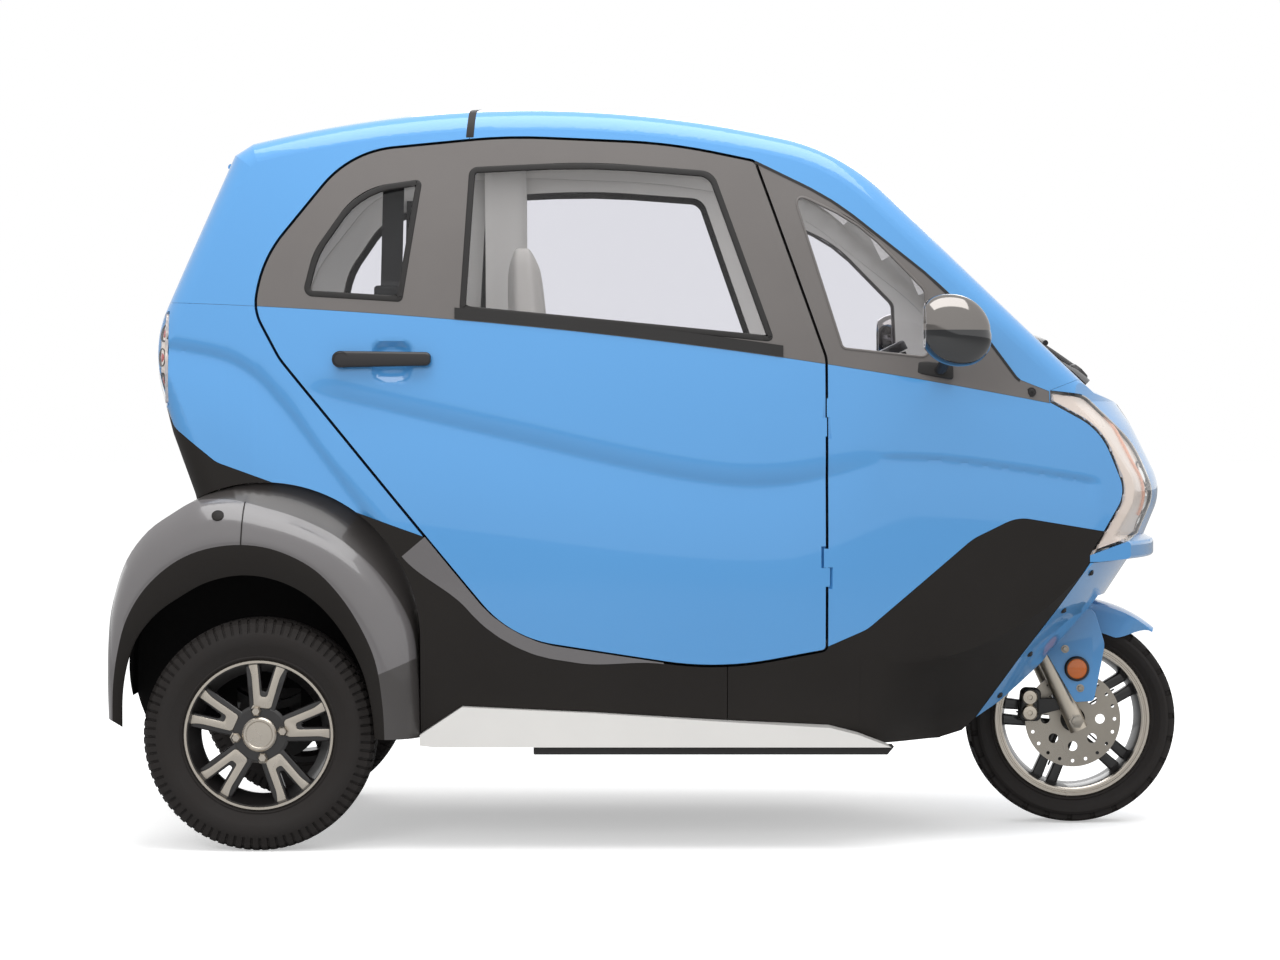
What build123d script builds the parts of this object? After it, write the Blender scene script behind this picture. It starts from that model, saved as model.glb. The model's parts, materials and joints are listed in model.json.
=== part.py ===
"""Three-wheeled electric cabin scooter, built as separate named pieces.

Frame: +X forward, +Y left, +Z up, millimetres, origin on the ground under the middle.
"""
import math
import os

from build123d import *

os.makedirs("parts", exist_ok=True)

# Stance
REAR_AXLE_X = -854.0
FRONT_AXLE_X = 939.0
REAR_TRACK_HALF = 465.0
REAR_TYRE_R = 247.0
REAR_TYRE_W = 136.0
REAR_RIM_R = 160.0
REAR_RIM_W = 118.0
FRONT_TYRE_R = 237.0
FRONT_TYRE_W = 120.0
FRONT_RIM_R = 178.0
FRONT_RIM_W = 100.0

# Cabin block
HALF_WIDTH = 535.0
WIDEST_X = -250.0
PLAN_RADIUS = 4500.0
CROWN_AXIS_Z = -900.0
NOSE_AXIS_X = 450.0
EDGE_R = 60.0
EDGE_FROM_Y = 250.0
EDGE_FROM_Z = 640.0
EDGE_TO_X = 1000.0
WALL = 45.0
SEAM = 0.6
DOOR_GAP = 6.0
GLASS = 5.0
GLASS_INSET = 12.0
REACH = 800.0

# Steering
RAKE = math.radians(24.5)
FORK_OFFSET = 35.0
FORK_HALF = 92.0
STEM_R = 18.0
RUN_FIT = 0.05

# Well of the front wheel
WELL_HALF = 212.0
WELL_T = 7.0

# Hinges
HINGE_X = 353.0
HINGE_R = 7.0
PIN_R = 3.0
HINGE_RELIEF = 12.5
HATCH_HINGE = (-946.0, 1473.0)

# Under the floor
FLOOR_Z = 265.0
FLOOR_T = 10.0
REAR_FLOOR_Z = 400.0
STEP_X = -610.0
RAIL_Y = 260.0
RAIL_W = 40.0
RAIL_H = 40.0
CROSS_BACK = -985.0

# Side-view outlines: x, z, corner radius
DOOR = (
    (353, 424, 12), (353, 1047, 60), (203, 1472, 18), (20, 1509, 1200), (-330, 1524, 1200),
    (-668, 1492, 220), (-853, 1262, 260), (-872, 1150, 100), (-815, 1046, 150),
    (-322, 452, 250), (120, 383, 700),
)
MAIN_WINDOW = (
    (-430, 1146, 12), (-411, 1457, 20), (-150, 1469, 1500), (112, 1449, 40), (243, 1081, 12),
)
REAR_WINDOW = (
    (-768, 1180, 20), (-745, 1275, 150), (-650, 1412, 150), (-511, 1432, 12), (-552, 1166, 12),
)
FRONT_WINDOW = (
    (278, 1412, 20), (430, 1340, 300), (572, 1195, 30), (580, 1046, 20), (386, 1066, 15),
)
QUARTER_FRAME = (
    (353, 900, 0), (353, 1047, 60), (203, 1472, 0), (370, 1391, 500), (640, 1178, 700),
    (772, 1003, 15), (840, 977, 0), (842, 900, 0),
)
WING = (
    (353, 431, 0), (440, 468, 80), (670, 660, 120), (768, 706, 90), (961.3, 673.5, 0),
    (1012, 757, 70), (955, 893, 150), (842, 953, 0), (842, 1100, 0), (353, 1200, 0),
)
HEADLAMP = (
    (842, 953, 0), (955, 893, 150), (1012, 757, 70), (930, 622, 0), (1055, 664, 0),
    (1092, 752, 60), (1050, 860, 150), (925, 970, 60), (842, 979, 0),
)
NOSE = (
    (842, 979, 0), (925, 970, 60), (1050, 860, 150), (1092, 752, 60), (1055, 664, 0),
    (930, 622, 0), (930, 607, 0), (1250, 607, 0), (1250, 1100, 0), (842, 1100, 0),
)
SHIELD = (
    (931, 606, 0), (1250, 606, 0), (1250, 525, 0), (1010, 525, 0), (905, 425, 0),
    (748, 296, 0), (692, 262, 0),
)
FRONT_CLADDING = (
    (141, 480, 0), (353, 480, 0), (353, 431, 0), (440, 468, 80), (670, 660, 120),
    (768, 706, 90), (961.3, 673.5, 0), (930, 622, 0), (930, 606, 0), (691, 262, 0),
    (660, 236, 0), (603, 222, 0), (486, 224, 0), (417, 250, 0), (357, 265, 0), (141, 278, 0),
)
REAR_CLADDING = (
    (140, 278, 0), (-143, 296, 0), (-422, 309, 0), (-540, 231, 0), (-1250, 231, 0),
    (-1250, 940, 0), (-1062, 940, 0), (-1045, 900, 40), (-950, 825, 60), (-440, 645, 0),
    (-300, 480, 0), (140, 480, 0),
)
QUARTER = (
    (-440, 645, 0), (-950, 825, 60), (-1045, 900, 40), (-1062, 940, 0), (-1250, 940, 0),
    (-1250, 1250, 0), (-300, 1250, 0),
)
SILL = (
    (-539, 230, 0), (-422, 308, 0), (-143, 295, 0), (130, 277, 0), (357, 264, 0),
    (417, 249, 0), (486, 223, 0), (-480, 223, 0),
)
HANDLE = ((-702, 1024, 19), (-702, 1064, 19), (-489, 1060, 12), (-489, 1028, 12))
REAR_ROOF = ((-395, 1700, 0), (-412, 1516, 0), (-412, 1000, 0), (-1300, 1000, 0), (-1300, 1700, 0))
FRONT_ROOF = ((-394, 1700, 0), (-411, 1516, 0), (-411, 1000, 0), (1300, 900, 0), (1300, 1700, 0))

# End-view outlines: y, z, corner radius
WINDSCREEN = ((-318, 1022, 40), (318, 1022, 40), (345, 1490, 50), (-345, 1490, 50))
HATCH = ((-385, 1182, 30), (385, 1182, 30), (352, 1473, 30), (-352, 1473, 30))
HATCH_WINDOW = ((-320, 1215, 40), (320, 1215, 40), (292, 1440, 40), (-292, 1440, 40))
LAMP_X = -1058.0
TAIL_LAMP = ((-500, 945, 20), (-372, 945, 25), (-390, 1150, 25), (-500, 1150, 20))

# Half width and height on the flank arc
SHOULDER = ((490, 100), (535, 640), (388, 1700))
# Centre line of roof, screen, bonnet and tail: x, z, corner radius
TOP_LINE = (
    (-925, 1515, 0), (-885, 1540, 0), (-297, 1676, 2480), (389.4, 1526.3, 450), (950, 998, 0),
    (1040, 950, 0), (1250, 800, 0), (1250, 50, 0), (-1060, 50, 0), (-1060, 640, 60),
    (-992, 785, 60), (-1050, 930, 80), (-1103, 1110, 250),
)
# Nose line: distance ahead of the nose axis, z, corner radius
NOSE_LOW = ((340, 100, 0), (345, 150, 0), (380, 270, 100), (465, 400, 100), (553, 509, 100), (616, 606, 0))
NOSE_LIP = ((672, 614, 8), (672, 648, 10), (650, 660, 0))
NOSE_HIGH = ((692, 762, 110), (622, 904, 200), (586, 956, 0), (560, 1100, 0), (560, 1700, 0))


def save(shape, name):
    """Label one node and write its STEP file."""
    shape.label = name
    export_step(shape, f"parts/{name}.step")


def brought_in(points, inset):
    """Corner points of an outline moved in by an inset, with the corner radii to suit."""
    count = len(points)
    area = sum(points[i][0] * points[(i + 1) % count][1] - points[(i + 1) % count][0] * points[i][1]
               for i in range(count))
    turn = 1 if area > 0 else -1
    moved = []
    for i, (a, b, radius) in enumerate(points):
        before = Vector(a - points[i - 1][0], b - points[i - 1][1]).normalized()
        after = Vector(points[(i + 1) % count][0] - a, points[(i + 1) % count][1] - b).normalized()
        bend = before.X * after.Y - before.Y * after.X
        lean = 1 + before.X * after.X + before.Y * after.Y
        shift_a = -turn * (before.Y + after.Y) * inset / lean
        shift_b = turn * (before.X + after.X) * inset / lean
        rounded = radius - inset if bend * turn > 0 else radius + inset
        moved.append((a + shift_a, b + shift_b, max(rounded, 0) if radius else 0))
    return moved


def outline(points, shrink):
    """Draw a closed outline with rounded corners in the sketch that is open."""
    placed = brought_in(points, shrink)
    with BuildLine() as path:
        FilletPolyline(*[(a, b) for a, b, _ in placed], radius=[r for _, _, r in placed], close=True)
    make_face(path.edges())


def side_prism(points, shrink=0.0, near=0.0, far=REACH, both=False):
    """Solid through the body across Y; the right side only unless both sides are asked for."""
    with BuildPart() as prism:
        with BuildSketch(Plane.XZ.offset(near)):
            outline(points, shrink)
        extrude(amount=far - near, both=both)
    return prism.part


def end_prism(points, x_from, x_to, shrink=0.0):
    """Solid along X with an outline drawn in end view."""
    with BuildPart() as prism:
        with BuildSketch(Plane.YZ.offset(x_from)):
            outline(points, shrink)
        extrude(amount=x_to - x_from)
    return prism.part


def side_solid(inset):
    """Everything inside the right flank: one arc in end view, turned about a far upright axis."""
    centre = PLAN_RADIUS - HALF_WIDTH
    start = math.radians(-20)
    radial = (math.sin(start), -math.cos(start), 0)
    normal = (-math.cos(start), -math.sin(start), 0)
    with BuildPart() as flank:
        with BuildSketch(Plane((WIDEST_X, centre, 0), x_dir=radial, z_dir=normal)):
            with BuildLine():
                arc = ThreePointArc(*[(centre + w - inset, z) for w, z in SHOULDER])
                Polyline(arc @ 1, (centre - 700, 1700), (centre - 700, 100), arc @ 0)
            make_face()
        revolve(axis=Axis((WIDEST_X, centre, 0), (0, 0, 1)), revolution_arc=40)
    return flank.part


def top_solid(inset):
    """Everything under the roof, screen and tail line, crowned across the width."""
    low = math.radians(-32)
    with BuildPart() as crown:
        across = (0, -math.cos(low), -math.sin(low))
        with BuildSketch(Plane((0, 0, CROWN_AXIS_Z), x_dir=(1, 0, 0), z_dir=across)):
            outline([(x, z - CROWN_AXIS_Z, r) for x, z, r in TOP_LINE], inset)
        revolve(axis=Axis((0, 0, CROWN_AXIS_Z), (1, 0, 0)), revolution_arc=64)
    return crown.part


def nose_solid(inset):
    """Everything behind the nose: a profile turned about an upright axis, with a block behind."""
    lip = () if inset else NOSE_LIP
    line = ((-inset, 100, 0), *NOSE_LOW, *lip, *NOSE_HIGH, (-inset, 1700, 0))
    with BuildPart() as nose:
        with BuildSketch(Plane((NOSE_AXIS_X, 0, 0), x_dir=(0, -1, 0), z_dir=(-1, 0, 0))):
            outline(line, inset)
        revolve(axis=Axis((NOSE_AXIS_X, 0, 0), (0, 0, 1)), revolution_arc=180)
        with Locations((NOSE_AXIS_X - 999, 0, 900)):
            Box(2000, 1500, 1600 - 2 * inset)
    return nose.part


def block(inset):
    """The whole body as one block, brought in by an inset; the outer one has rounded roof edges."""
    right = side_solid(inset)
    with BuildPart() as body:
        add(right)
        mirror(right, about=Plane.XZ, mode=Mode.INTERSECT)
        add(top_solid(inset), mode=Mode.INTERSECT)
        if not inset:
            along = body.edges().filter_by(lambda e: abs(e.center().Y) > EDGE_FROM_Y)
            high = along.filter_by(lambda e: e.center().Z > EDGE_FROM_Z and e.center().X < EDGE_TO_X)
            fillet(high, radius=EDGE_R)
        add(nose_solid(inset), mode=Mode.INTERSECT)
    return body.part


def pair(shape):
    """A piece of the right side and its mirror image on the left."""
    return Part(children=[]) + shape + mirror_y(shape)


def mirror_y(shape):
    """Mirror image across the centre plane."""
    with BuildPart() as other:
        mirror(shape, about=Plane.XZ)
    return other.part


def tube(start, end, radius, bore=0.0):
    """Round bar or pipe between two points."""
    path = Vector(*end) - Vector(*start)
    with BuildPart() as bar:
        with BuildSketch(Plane(start, z_dir=path)):
            Circle(radius)
            if bore:
                Circle(bore, mode=Mode.SUBTRACT)
        extrude(amount=path.length)
    return bar.part


def slab(x0, x1, y0, y1, z0, z1):
    """Rectangular block from its limits."""
    with BuildPart() as b:
        with Locations(((x0 + x1) / 2, (y0 + y1) / 2, (z0 + z1) / 2)):
            Box(x1 - x0, y1 - y0, z1 - z0)
    return b.part


def half_width_at(x, z):
    """Half width of the outer skin at a place on the flank."""
    (w0, z0), (w1, z1), (w2, z2) = SHOULDER
    ax, ay, bx, by = w1 - w0, z1 - z0, w2 - w0, z2 - z0
    det = 2 * (ax * by - ay * bx)
    la, lb = ax * ax + ay * ay, bx * bx + by * by
    cx = w0 + (by * la - ay * lb) / det
    cz = z0 + (ax * lb - bx * la) / det
    radius = math.hypot(w0 - cx, z0 - cz)
    wide = cx + math.sqrt(radius ** 2 - (z - cz) ** 2)
    rho = PLAN_RADIUS - HALF_WIDTH + wide
    return math.sqrt(rho ** 2 - (x - WIDEST_X) ** 2) - (PLAN_RADIUS - HALF_WIDTH)


# Shared solids
outer = block(0.0)
inner = block(WALL)
with BuildPart() as belt:
    with BuildSketch(Plane.XZ):
        with BuildLine():
            line = ThreePointArc((-1200, 1172), (-100, 1094), (842, 951))
            Polyline(line @ 1, (842, 979), (905, 1002), (1250, 1002), (1250, 0), (-1200, 0), line @ 0)
        make_face()
    extrude(amount=REACH, both=True)
with BuildPart() as belt_up:
    add(belt.part.moved(Location((0, 0, SEAM))))
with BuildPart() as shell:
    add(outer)
    add(inner, mode=Mode.SUBTRACT)
    add(slab(-1300, 1300, -900, 900, 0, 205), mode=Mode.SUBTRACT)
with BuildPart() as low_shell:
    add(shell.part)
    add(belt.part, mode=Mode.INTERSECT)
with BuildPart() as high_shell:
    add(shell.part)
    add(belt_up.part, mode=Mode.SUBTRACT)
door_hole = side_prism(DOOR, -DOOR_GAP / 2, both=True)
door_body = side_prism(DOOR, DOOR_GAP / 2)

# Rear fender: a dome over the wheel with straight legs, hollow behind its skin
ARCH_X, ARCH_Z, ARCH_R = REAR_AXLE_X - 11, REAR_TYRE_R + 140.0, REAR_TYRE_R + 28.0
BULGE_X, BULGE_Z, BULGE_R = REAR_AXLE_X + 10, ARCH_Z + 63.0, ARCH_R + 57.0
FENDER_Y = 565.0
FENDER_IN = 395.0
FENDER_LOW = 240.0
FENDER_SKIN = 20.0
LIP_DEPTH = 18.0
LIP_WIDE = 61.0
LIP_PAST = 6.0
OPENING_HALF = REAR_TYRE_R + 1.0
OPENING_TOP = 2 * REAR_TYRE_R + 93.0
OPENING_R = 190.0
OPENING = (
    (REAR_AXLE_X - OPENING_HALF, 100, 0), (REAR_AXLE_X - OPENING_HALF, OPENING_TOP, OPENING_R),
    (REAR_AXLE_X + OPENING_HALF, OPENING_TOP, OPENING_R), (REAR_AXLE_X + OPENING_HALF, 100, 0),
)
# Half section of the dome: radius, distance from the centre plane
DOME = ((BULGE_R, 470.0), (BULGE_R - 29.0, 542.0), (BULGE_R - 107.0, FENDER_Y))
APRON_LOW = 330.0
HOUSE_Y = 320.0


def fender_outline():
    """Side view of the whole fender, filled in."""
    with BuildLine() as path:
        left = (BULGE_X - BULGE_R, BULGE_Z)
        right = (BULGE_X + BULGE_R, BULGE_Z)
        ThreePointArc(left, (BULGE_X, BULGE_Z + BULGE_R), right)
        Polyline(right, (right[0], FENDER_LOW), (left[0], FENDER_LOW), left)
    make_face(path.edges())


def arch_outline(radius):
    """Round arch over the wheel with straight legs down past the fender."""
    with Locations((ARCH_X, ARCH_Z)):
        Circle(radius)
        with Locations((0, -ARCH_Z / 2)):
            Rectangle(2 * radius, ARCH_Z)


def dome_half(flip):
    """Half section of the dome in the sketch that is open."""
    with BuildLine() as path:
        arc = ThreePointArc(*[(flip * r, -y) for r, y in DOME])
        Polyline(arc @ 1, (0, -FENDER_Y), (0, -FENDER_IN), (flip * BULGE_R, -FENDER_IN), arc @ 0)
    make_face(path.edges())


with BuildPart() as fender_hole:
    with BuildSketch(Plane.XZ.offset(FENDER_IN)):
        fender_outline()
        offset(amount=SEAM, kind=Kind.INTERSECTION)
    extrude(amount=REACH - FENDER_IN)
fender_holes = fender_hole.part
with BuildPart() as fender:
    with BuildSketch(Plane((BULGE_X, 0, BULGE_Z))):
        dome_half(1)
    revolve(axis=Axis((BULGE_X, 0, BULGE_Z), (0, -1, 0)), revolution_arc=180)
    with BuildSketch(Plane((BULGE_X, 0, BULGE_Z))):
        dome_half(1)
        dome_half(-1)
    extrude(amount=FENDER_LOW - BULGE_Z)
    with BuildSketch(Plane.XZ.offset(FENDER_IN)):
        arch_outline(ARCH_R)
    extrude(amount=FENDER_Y - FENDER_SKIN - FENDER_IN, mode=Mode.SUBTRACT)
    add(side_prism(OPENING, near=FENDER_IN), mode=Mode.SUBTRACT)
    with BuildSketch(Plane.XZ.offset(FENDER_Y - LIP_DEPTH)):
        outline(OPENING, 0)
    with BuildSketch(Plane.XZ.offset(FENDER_Y + LIP_PAST)):
        outline(OPENING, -LIP_WIDE)
    loft(mode=Mode.SUBTRACT)
save(pair(fender.part), "rear_fenders")


# Panels of the flank
def flank_panel(points, cut_door=True, cut_fender=False, cuts=()):
    """Right-hand panel cut from the lower shell; returns the solid."""
    with BuildPart() as panel:
        add(low_shell.part)
        add(side_prism(points, SEAM / 2), mode=Mode.INTERSECT)
        if cut_door:
            add(door_hole, mode=Mode.SUBTRACT)
        if cut_fender:
            add(fender_holes, mode=Mode.SUBTRACT)
        for cut in cuts:
            add(cut, mode=Mode.SUBTRACT)
    return panel.part


HINGE_Y = half_width_at(HINGE_X, 640.0) + 1.0
HINGES = (560.0, 880.0)
KNUCKLE = 40.0


def barrel(z0, radius, bore=0.0):
    """Upright cylinder on the right door's hinge axis."""
    return tube((HINGE_X, -HINGE_Y, z0), (HINGE_X, -HINGE_Y, z0 + KNUCKLE), radius, bore)


reliefs_wing = [tube((HINGE_X, -HINGE_Y, z - 5), (HINGE_X, -HINGE_Y, z + KNUCKLE + 5), HINGE_RELIEF)
                for z in HINGES]
reliefs_door = [tube((HINGE_X, -HINGE_Y, z + KNUCKLE - 4), (HINGE_X, -HINGE_Y, z + 2 * KNUCKLE + 6),
                     HINGE_RELIEF) for z in HINGES]
wing_cut = flank_panel(WING, cuts=reliefs_wing)
with BuildPart() as wing:
    add(wing_cut)
    for z in HINGES:
        add(barrel(z + KNUCKLE + 1, HINGE_R))
        add(tube((HINGE_X, -HINGE_Y, z + 2), (HINGE_X, -HINGE_Y, z + KNUCKLE + 2), PIN_R))
        add(slab(HINGE_X, HINGE_X + 16, -HINGE_Y - 2, -HINGE_Y + 16, z + KNUCKLE + 1, z + 2 * KNUCKLE + 1))
save(pair(wing.part), "front_wings")
save(pair(flank_panel(FRONT_CLADDING, cuts=[slab(500, 1300, -WELL_HALF, 0, 0, 526)])),
     "front_cladding")
rear_cladding = flank_panel(REAR_CLADDING, cut_fender=True,
                            cuts=[slab(-1300, -900, -FENDER_IN, 0, 0, 1300), slab(-1300, -530, -700, 0, 0, 250)])
save(pair(rear_cladding), "rear_cladding")

lamp_cut = end_prism(TAIL_LAMP, -1200, LAMP_X)
lamp_body = end_prism(TAIL_LAMP, -1200, LAMP_X - SEAM, SEAM)
with BuildPart() as quarters:
    add(low_shell.part)
    add(side_prism(QUARTER, SEAM / 2, both=True), mode=Mode.INTERSECT)
    for cut in (lamp_cut, fender_holes):
        add(cut, mode=Mode.SUBTRACT)
        mirror(cut, about=Plane.XZ, mode=Mode.SUBTRACT)
    add(door_hole, mode=Mode.SUBTRACT)
save(quarters.part, "rear_quarters")
with BuildPart() as lamp:
    add(low_shell.part)
    add(lamp_body, mode=Mode.INTERSECT)
save(pair(lamp.part), "tail_lamps")
with BuildPart() as apron:
    add(low_shell.part)
    add(slab(-1200, -900, -FENDER_IN + SEAM, FENDER_IN - SEAM, APRON_LOW, 939), mode=Mode.INTERSECT)
    for side in (-1, 1):
        with Locations((-1000, side * (HOUSE_Y + 200 - SEAM), ARCH_Z)):
            Box(600, 400, 2 * (ARCH_R + 8 + SEAM), mode=Mode.SUBTRACT)
    add(side_prism(QUARTER, -SEAM / 2, both=True), mode=Mode.SUBTRACT)
save(apron.part, "rear_apron")

lamp_front = flank_panel(HEADLAMP, cut_door=False, cuts=[slab(0, 1300, -170, 0, 0, 1300)])
save(pair(lamp_front), "headlamps")
with BuildPart() as nose:
    add(low_shell.part)
    add(side_prism(NOSE, SEAM / 2, both=True), mode=Mode.INTERSECT)
save(nose.part, "nose_panel")
with BuildPart() as shield:
    add(low_shell.part)
    add(side_prism(SHIELD, SEAM / 2, both=True), mode=Mode.INTERSECT)
    add(slab(500, 1300, -WELL_HALF, WELL_HALF, 0, 526), mode=Mode.SUBTRACT)
save(shield.part, "front_shield")
with BuildPart() as sill:
    with BuildSketch(Plane.XZ.offset(470)):
        outline(SILL, 0)
    extrude(amount=72)
    add(slab(-1200, BULGE_X + BULGE_R + SEAM, -REACH, 0, 0, 400), mode=Mode.SUBTRACT)
save(pair(sill.part), "side_sills")

# Upper shell
screen_cut = end_prism(WINDSCREEN, 100, 1200)
hatch_cut = end_prism(HATCH, -1200, -870, -DOOR_GAP / 2)
with BuildPart() as front_roof:
    add(high_shell.part)
    add(side_prism(FRONT_ROOF, SEAM / 2, both=True), mode=Mode.INTERSECT)
    add(door_hole, mode=Mode.SUBTRACT)
    add(side_prism(QUARTER_FRAME, -SEAM / 2, both=True), mode=Mode.SUBTRACT)
    add(screen_cut, mode=Mode.SUBTRACT)
save(front_roof.part, "front_roof")
HATCH_KNUCKLES = ((-250.0, 40.0), (210.0, 40.0))
HX, HZ = HATCH_HINGE


def hatch_barrel(y0, length, radius):
    """Cylinder on the hatch hinge axis."""
    return tube((HX, y0, HZ), (HX, y0 + length, HZ), radius)


with BuildPart() as rear_roof:
    add(high_shell.part)
    add(side_prism(REAR_ROOF, SEAM / 2, both=True), mode=Mode.INTERSECT)
    add(door_hole, mode=Mode.SUBTRACT)
    add(hatch_cut, mode=Mode.SUBTRACT)
    for y, length in HATCH_KNUCKLES:
        add(hatch_barrel(y - 5, length + 10, HINGE_RELIEF), mode=Mode.SUBTRACT)
    for y, length in HATCH_KNUCKLES:
        add(hatch_barrel(y + length + 1, length, HINGE_R))
        add(slab(HX, HX + 26, y + length + 1, y + 2 * length + 1, HZ - 2, HZ + 18))
        add(hatch_barrel(y + 2, length, PIN_R))
save(rear_roof.part, "rear_roof")

glass_out = side_solid(GLASS_INSET)
glass_in = side_solid(GLASS_INSET + GLASS)
with BuildPart() as glass_layer:
    add(glass_out)
    add(glass_in, mode=Mode.SUBTRACT)
    add(slab(-1300, 1300, -700, 0, 900, 1650), mode=Mode.INTERSECT)


def pane(points):
    """Glass pane on the right flank that fills one window outline."""
    with BuildPart() as p:
        add(glass_layer.part)
        add(side_prism(points, 0.3), mode=Mode.INTERSECT)
    return p.part


with BuildPart() as quarter_frame:
    add(high_shell.part)
    add(side_prism(QUARTER_FRAME, SEAM / 2), mode=Mode.INTERSECT)
    add(door_hole, mode=Mode.SUBTRACT)
    add(side_prism(FRONT_WINDOW), mode=Mode.SUBTRACT)
save(pair(quarter_frame.part), "quarter_frames")
save(pair(pane(FRONT_WINDOW)), "quarter_glass")
with BuildPart() as windscreen:
    add(top_solid(2.0))
    add(top_solid(2.0 + GLASS), mode=Mode.SUBTRACT)
    add(end_prism(WINDSCREEN, 100, 1200, 0.3), mode=Mode.INTERSECT)
    add(slab(150, 1200, -500, 500, 950, 1700), mode=Mode.INTERSECT)
save(windscreen.part, "windscreen")

# Hatch
with BuildPart() as hatch:
    add(high_shell.part)
    add(end_prism(HATCH, -1200, -870, DOOR_GAP / 2), mode=Mode.INTERSECT)
    add(end_prism(HATCH_WINDOW, -1200, -800), mode=Mode.SUBTRACT)
    for y, length in HATCH_KNUCKLES:
        add(hatch_barrel(y + length - 4, length + 10, HINGE_RELIEF), mode=Mode.SUBTRACT)
    for y, length in HATCH_KNUCKLES:
        add(hatch_barrel(y, length, HINGE_R))
        add(slab(HX - 4, HX + 20, y, y + length, HZ - 18, HZ))
        add(hatch_barrel(y - 1, length + 2, PIN_R + RUN_FIT), mode=Mode.SUBTRACT)
save(hatch.part, "hatch_panel")
with BuildPart() as hatch_glass:
    add(top_solid(8.0))
    add(top_solid(8.0 + GLASS), mode=Mode.SUBTRACT)
    add(end_prism(HATCH_WINDOW, -1200, -870, 0.3), mode=Mode.INTERSECT)
save(hatch_glass.part, "hatch_glass")

# Doors
with BuildPart() as door_panel:
    add(low_shell.part)
    add(door_body, mode=Mode.INTERSECT)
    for relief in reliefs_door:
        add(relief, mode=Mode.SUBTRACT)
    for z in HINGES:
        add(barrel(z, HINGE_R))
        add(slab(HINGE_X - 16, HINGE_X, -HINGE_Y - 2, -HINGE_Y + 16, z, z + KNUCKLE))
        add(tube((HINGE_X, -HINGE_Y, z - 1), (HINGE_X, -HINGE_Y, z + KNUCKLE + 1), PIN_R + RUN_FIT),
            mode=Mode.SUBTRACT)
with BuildPart() as door_frame:
    add(high_shell.part)
    add(door_body, mode=Mode.INTERSECT)
    add(side_prism(MAIN_WINDOW), mode=Mode.SUBTRACT)
    add(side_prism(REAR_WINDOW), mode=Mode.SUBTRACT)
with BuildPart() as handle:
    add(side_solid(-26.0))
    add(side_solid(0.0), mode=Mode.SUBTRACT)
    add(side_prism(HANDLE, 0, near=300), mode=Mode.INTERSECT)
panes = Part(children=[]) + pane(MAIN_WINDOW) + pane(REAR_WINDOW)
for side, flip in (("right", False), ("left", True)):
    for name, piece in (("panel", door_panel.part), ("frame", door_frame.part),
                        ("glass", panes), ("handle", handle.part)):
        save(mirror_y(piece) if flip else piece, f"door_{side}_{name}")

# Mirrors
MIRROR_X, MIRROR_Y, MIRROR_Z = 612.0, 600.0, 1103.0
MIRROR_SIZE = (150.0, 100.0, 150.0)
with BuildPart() as mirrors:
    with Locations((MIRROR_X, -MIRROR_Y, MIRROR_Z)):
        Box(*MIRROR_SIZE)
    fillet(mirrors.edges(), radius=38)
    foot = half_width_at(600, 1024)
    add(tube((600, -foot - 8, 1024), (608, -MIRROR_Y + 20, 1060), 13))
    add(slab(565, 635, -foot - 14, -foot + 12, 1008, 1042))
    add(side_solid(0.0), mode=Mode.SUBTRACT)
save(pair(mirrors.part), "mirrors")

# Floor, rails, battery
FLOOR_HALF_REAR = HOUSE_Y - 5.0
with BuildPart() as floor:
    add(slab(STEP_X, 636, -REACH, REACH, FLOOR_Z, FLOOR_Z + FLOOR_T))
    add(slab(STEP_X - FLOOR_T, STEP_X, -FLOOR_HALF_REAR, FLOOR_HALF_REAR, FLOOR_Z, REAR_FLOOR_Z + FLOOR_T))
    add(slab(-1100, STEP_X, -FLOOR_HALF_REAR, FLOOR_HALF_REAR, REAR_FLOOR_Z, REAR_FLOOR_Z + FLOOR_T))
    add(inner, mode=Mode.INTERSECT)
    for near, far in ((-REACH, -FLOOR_HALF_REAR), (FLOOR_HALF_REAR, REACH)):
        add(slab(-1200, BULGE_X + BULGE_R + SEAM, near, far, 0, REAR_FLOOR_Z + 100), mode=Mode.SUBTRACT)
save(floor.part, "floor_pan")
AXIS_UP = (-math.sin(RAKE), 0.0, math.cos(RAKE))
AXIS_FOOT = (FRONT_AXLE_X - FORK_OFFSET * math.cos(RAKE), 0.0, FRONT_TYRE_R - FORK_OFFSET * math.sin(RAKE))


def on_axis(s, y=0.0):
    """Point on the steering axis at a distance up it, moved sideways by y."""
    return (AXIS_FOOT[0] + s * AXIS_UP[0], y, AXIS_FOOT[2] + s * AXIS_UP[2])


def on_leg(s, y):
    """Point on a fork leg, which runs through the front axle."""
    return (FRONT_AXLE_X + s * AXIS_UP[0], y, FRONT_TYRE_R + s * AXIS_UP[2])


HEAD_LOW, HEAD_HIGH = 476.0, 640.0
with BuildPart() as rails:
    for side in (-1, 1):
        y0, y1 = side * RAIL_Y - RAIL_W / 2, side * RAIL_Y + RAIL_W / 2
        add(slab(STEP_X - 50, 570, y0, y1, FLOOR_Z - RAIL_H, FLOOR_Z))
        add(slab(CROSS_BACK, STEP_X - FLOOR_T, y0, y1, REAR_FLOOR_Z - RAIL_H, REAR_FLOOR_Z))
        add(slab(STEP_X - 50, STEP_X - FLOOR_T, y0, y1, FLOOR_Z - RAIL_H, REAR_FLOOR_Z))
    for x in (-560, 0, 550):
        add(slab(x - 20, x + 20, -RAIL_Y, RAIL_Y, FLOOR_Z - RAIL_H, FLOOR_Z))
    add(slab(CROSS_BACK, CROSS_BACK + 30, -RAIL_Y, RAIL_Y, REAR_FLOOR_Z - RAIL_H, REAR_FLOOR_Z))
save(rails.part, "frame_rails")
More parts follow.
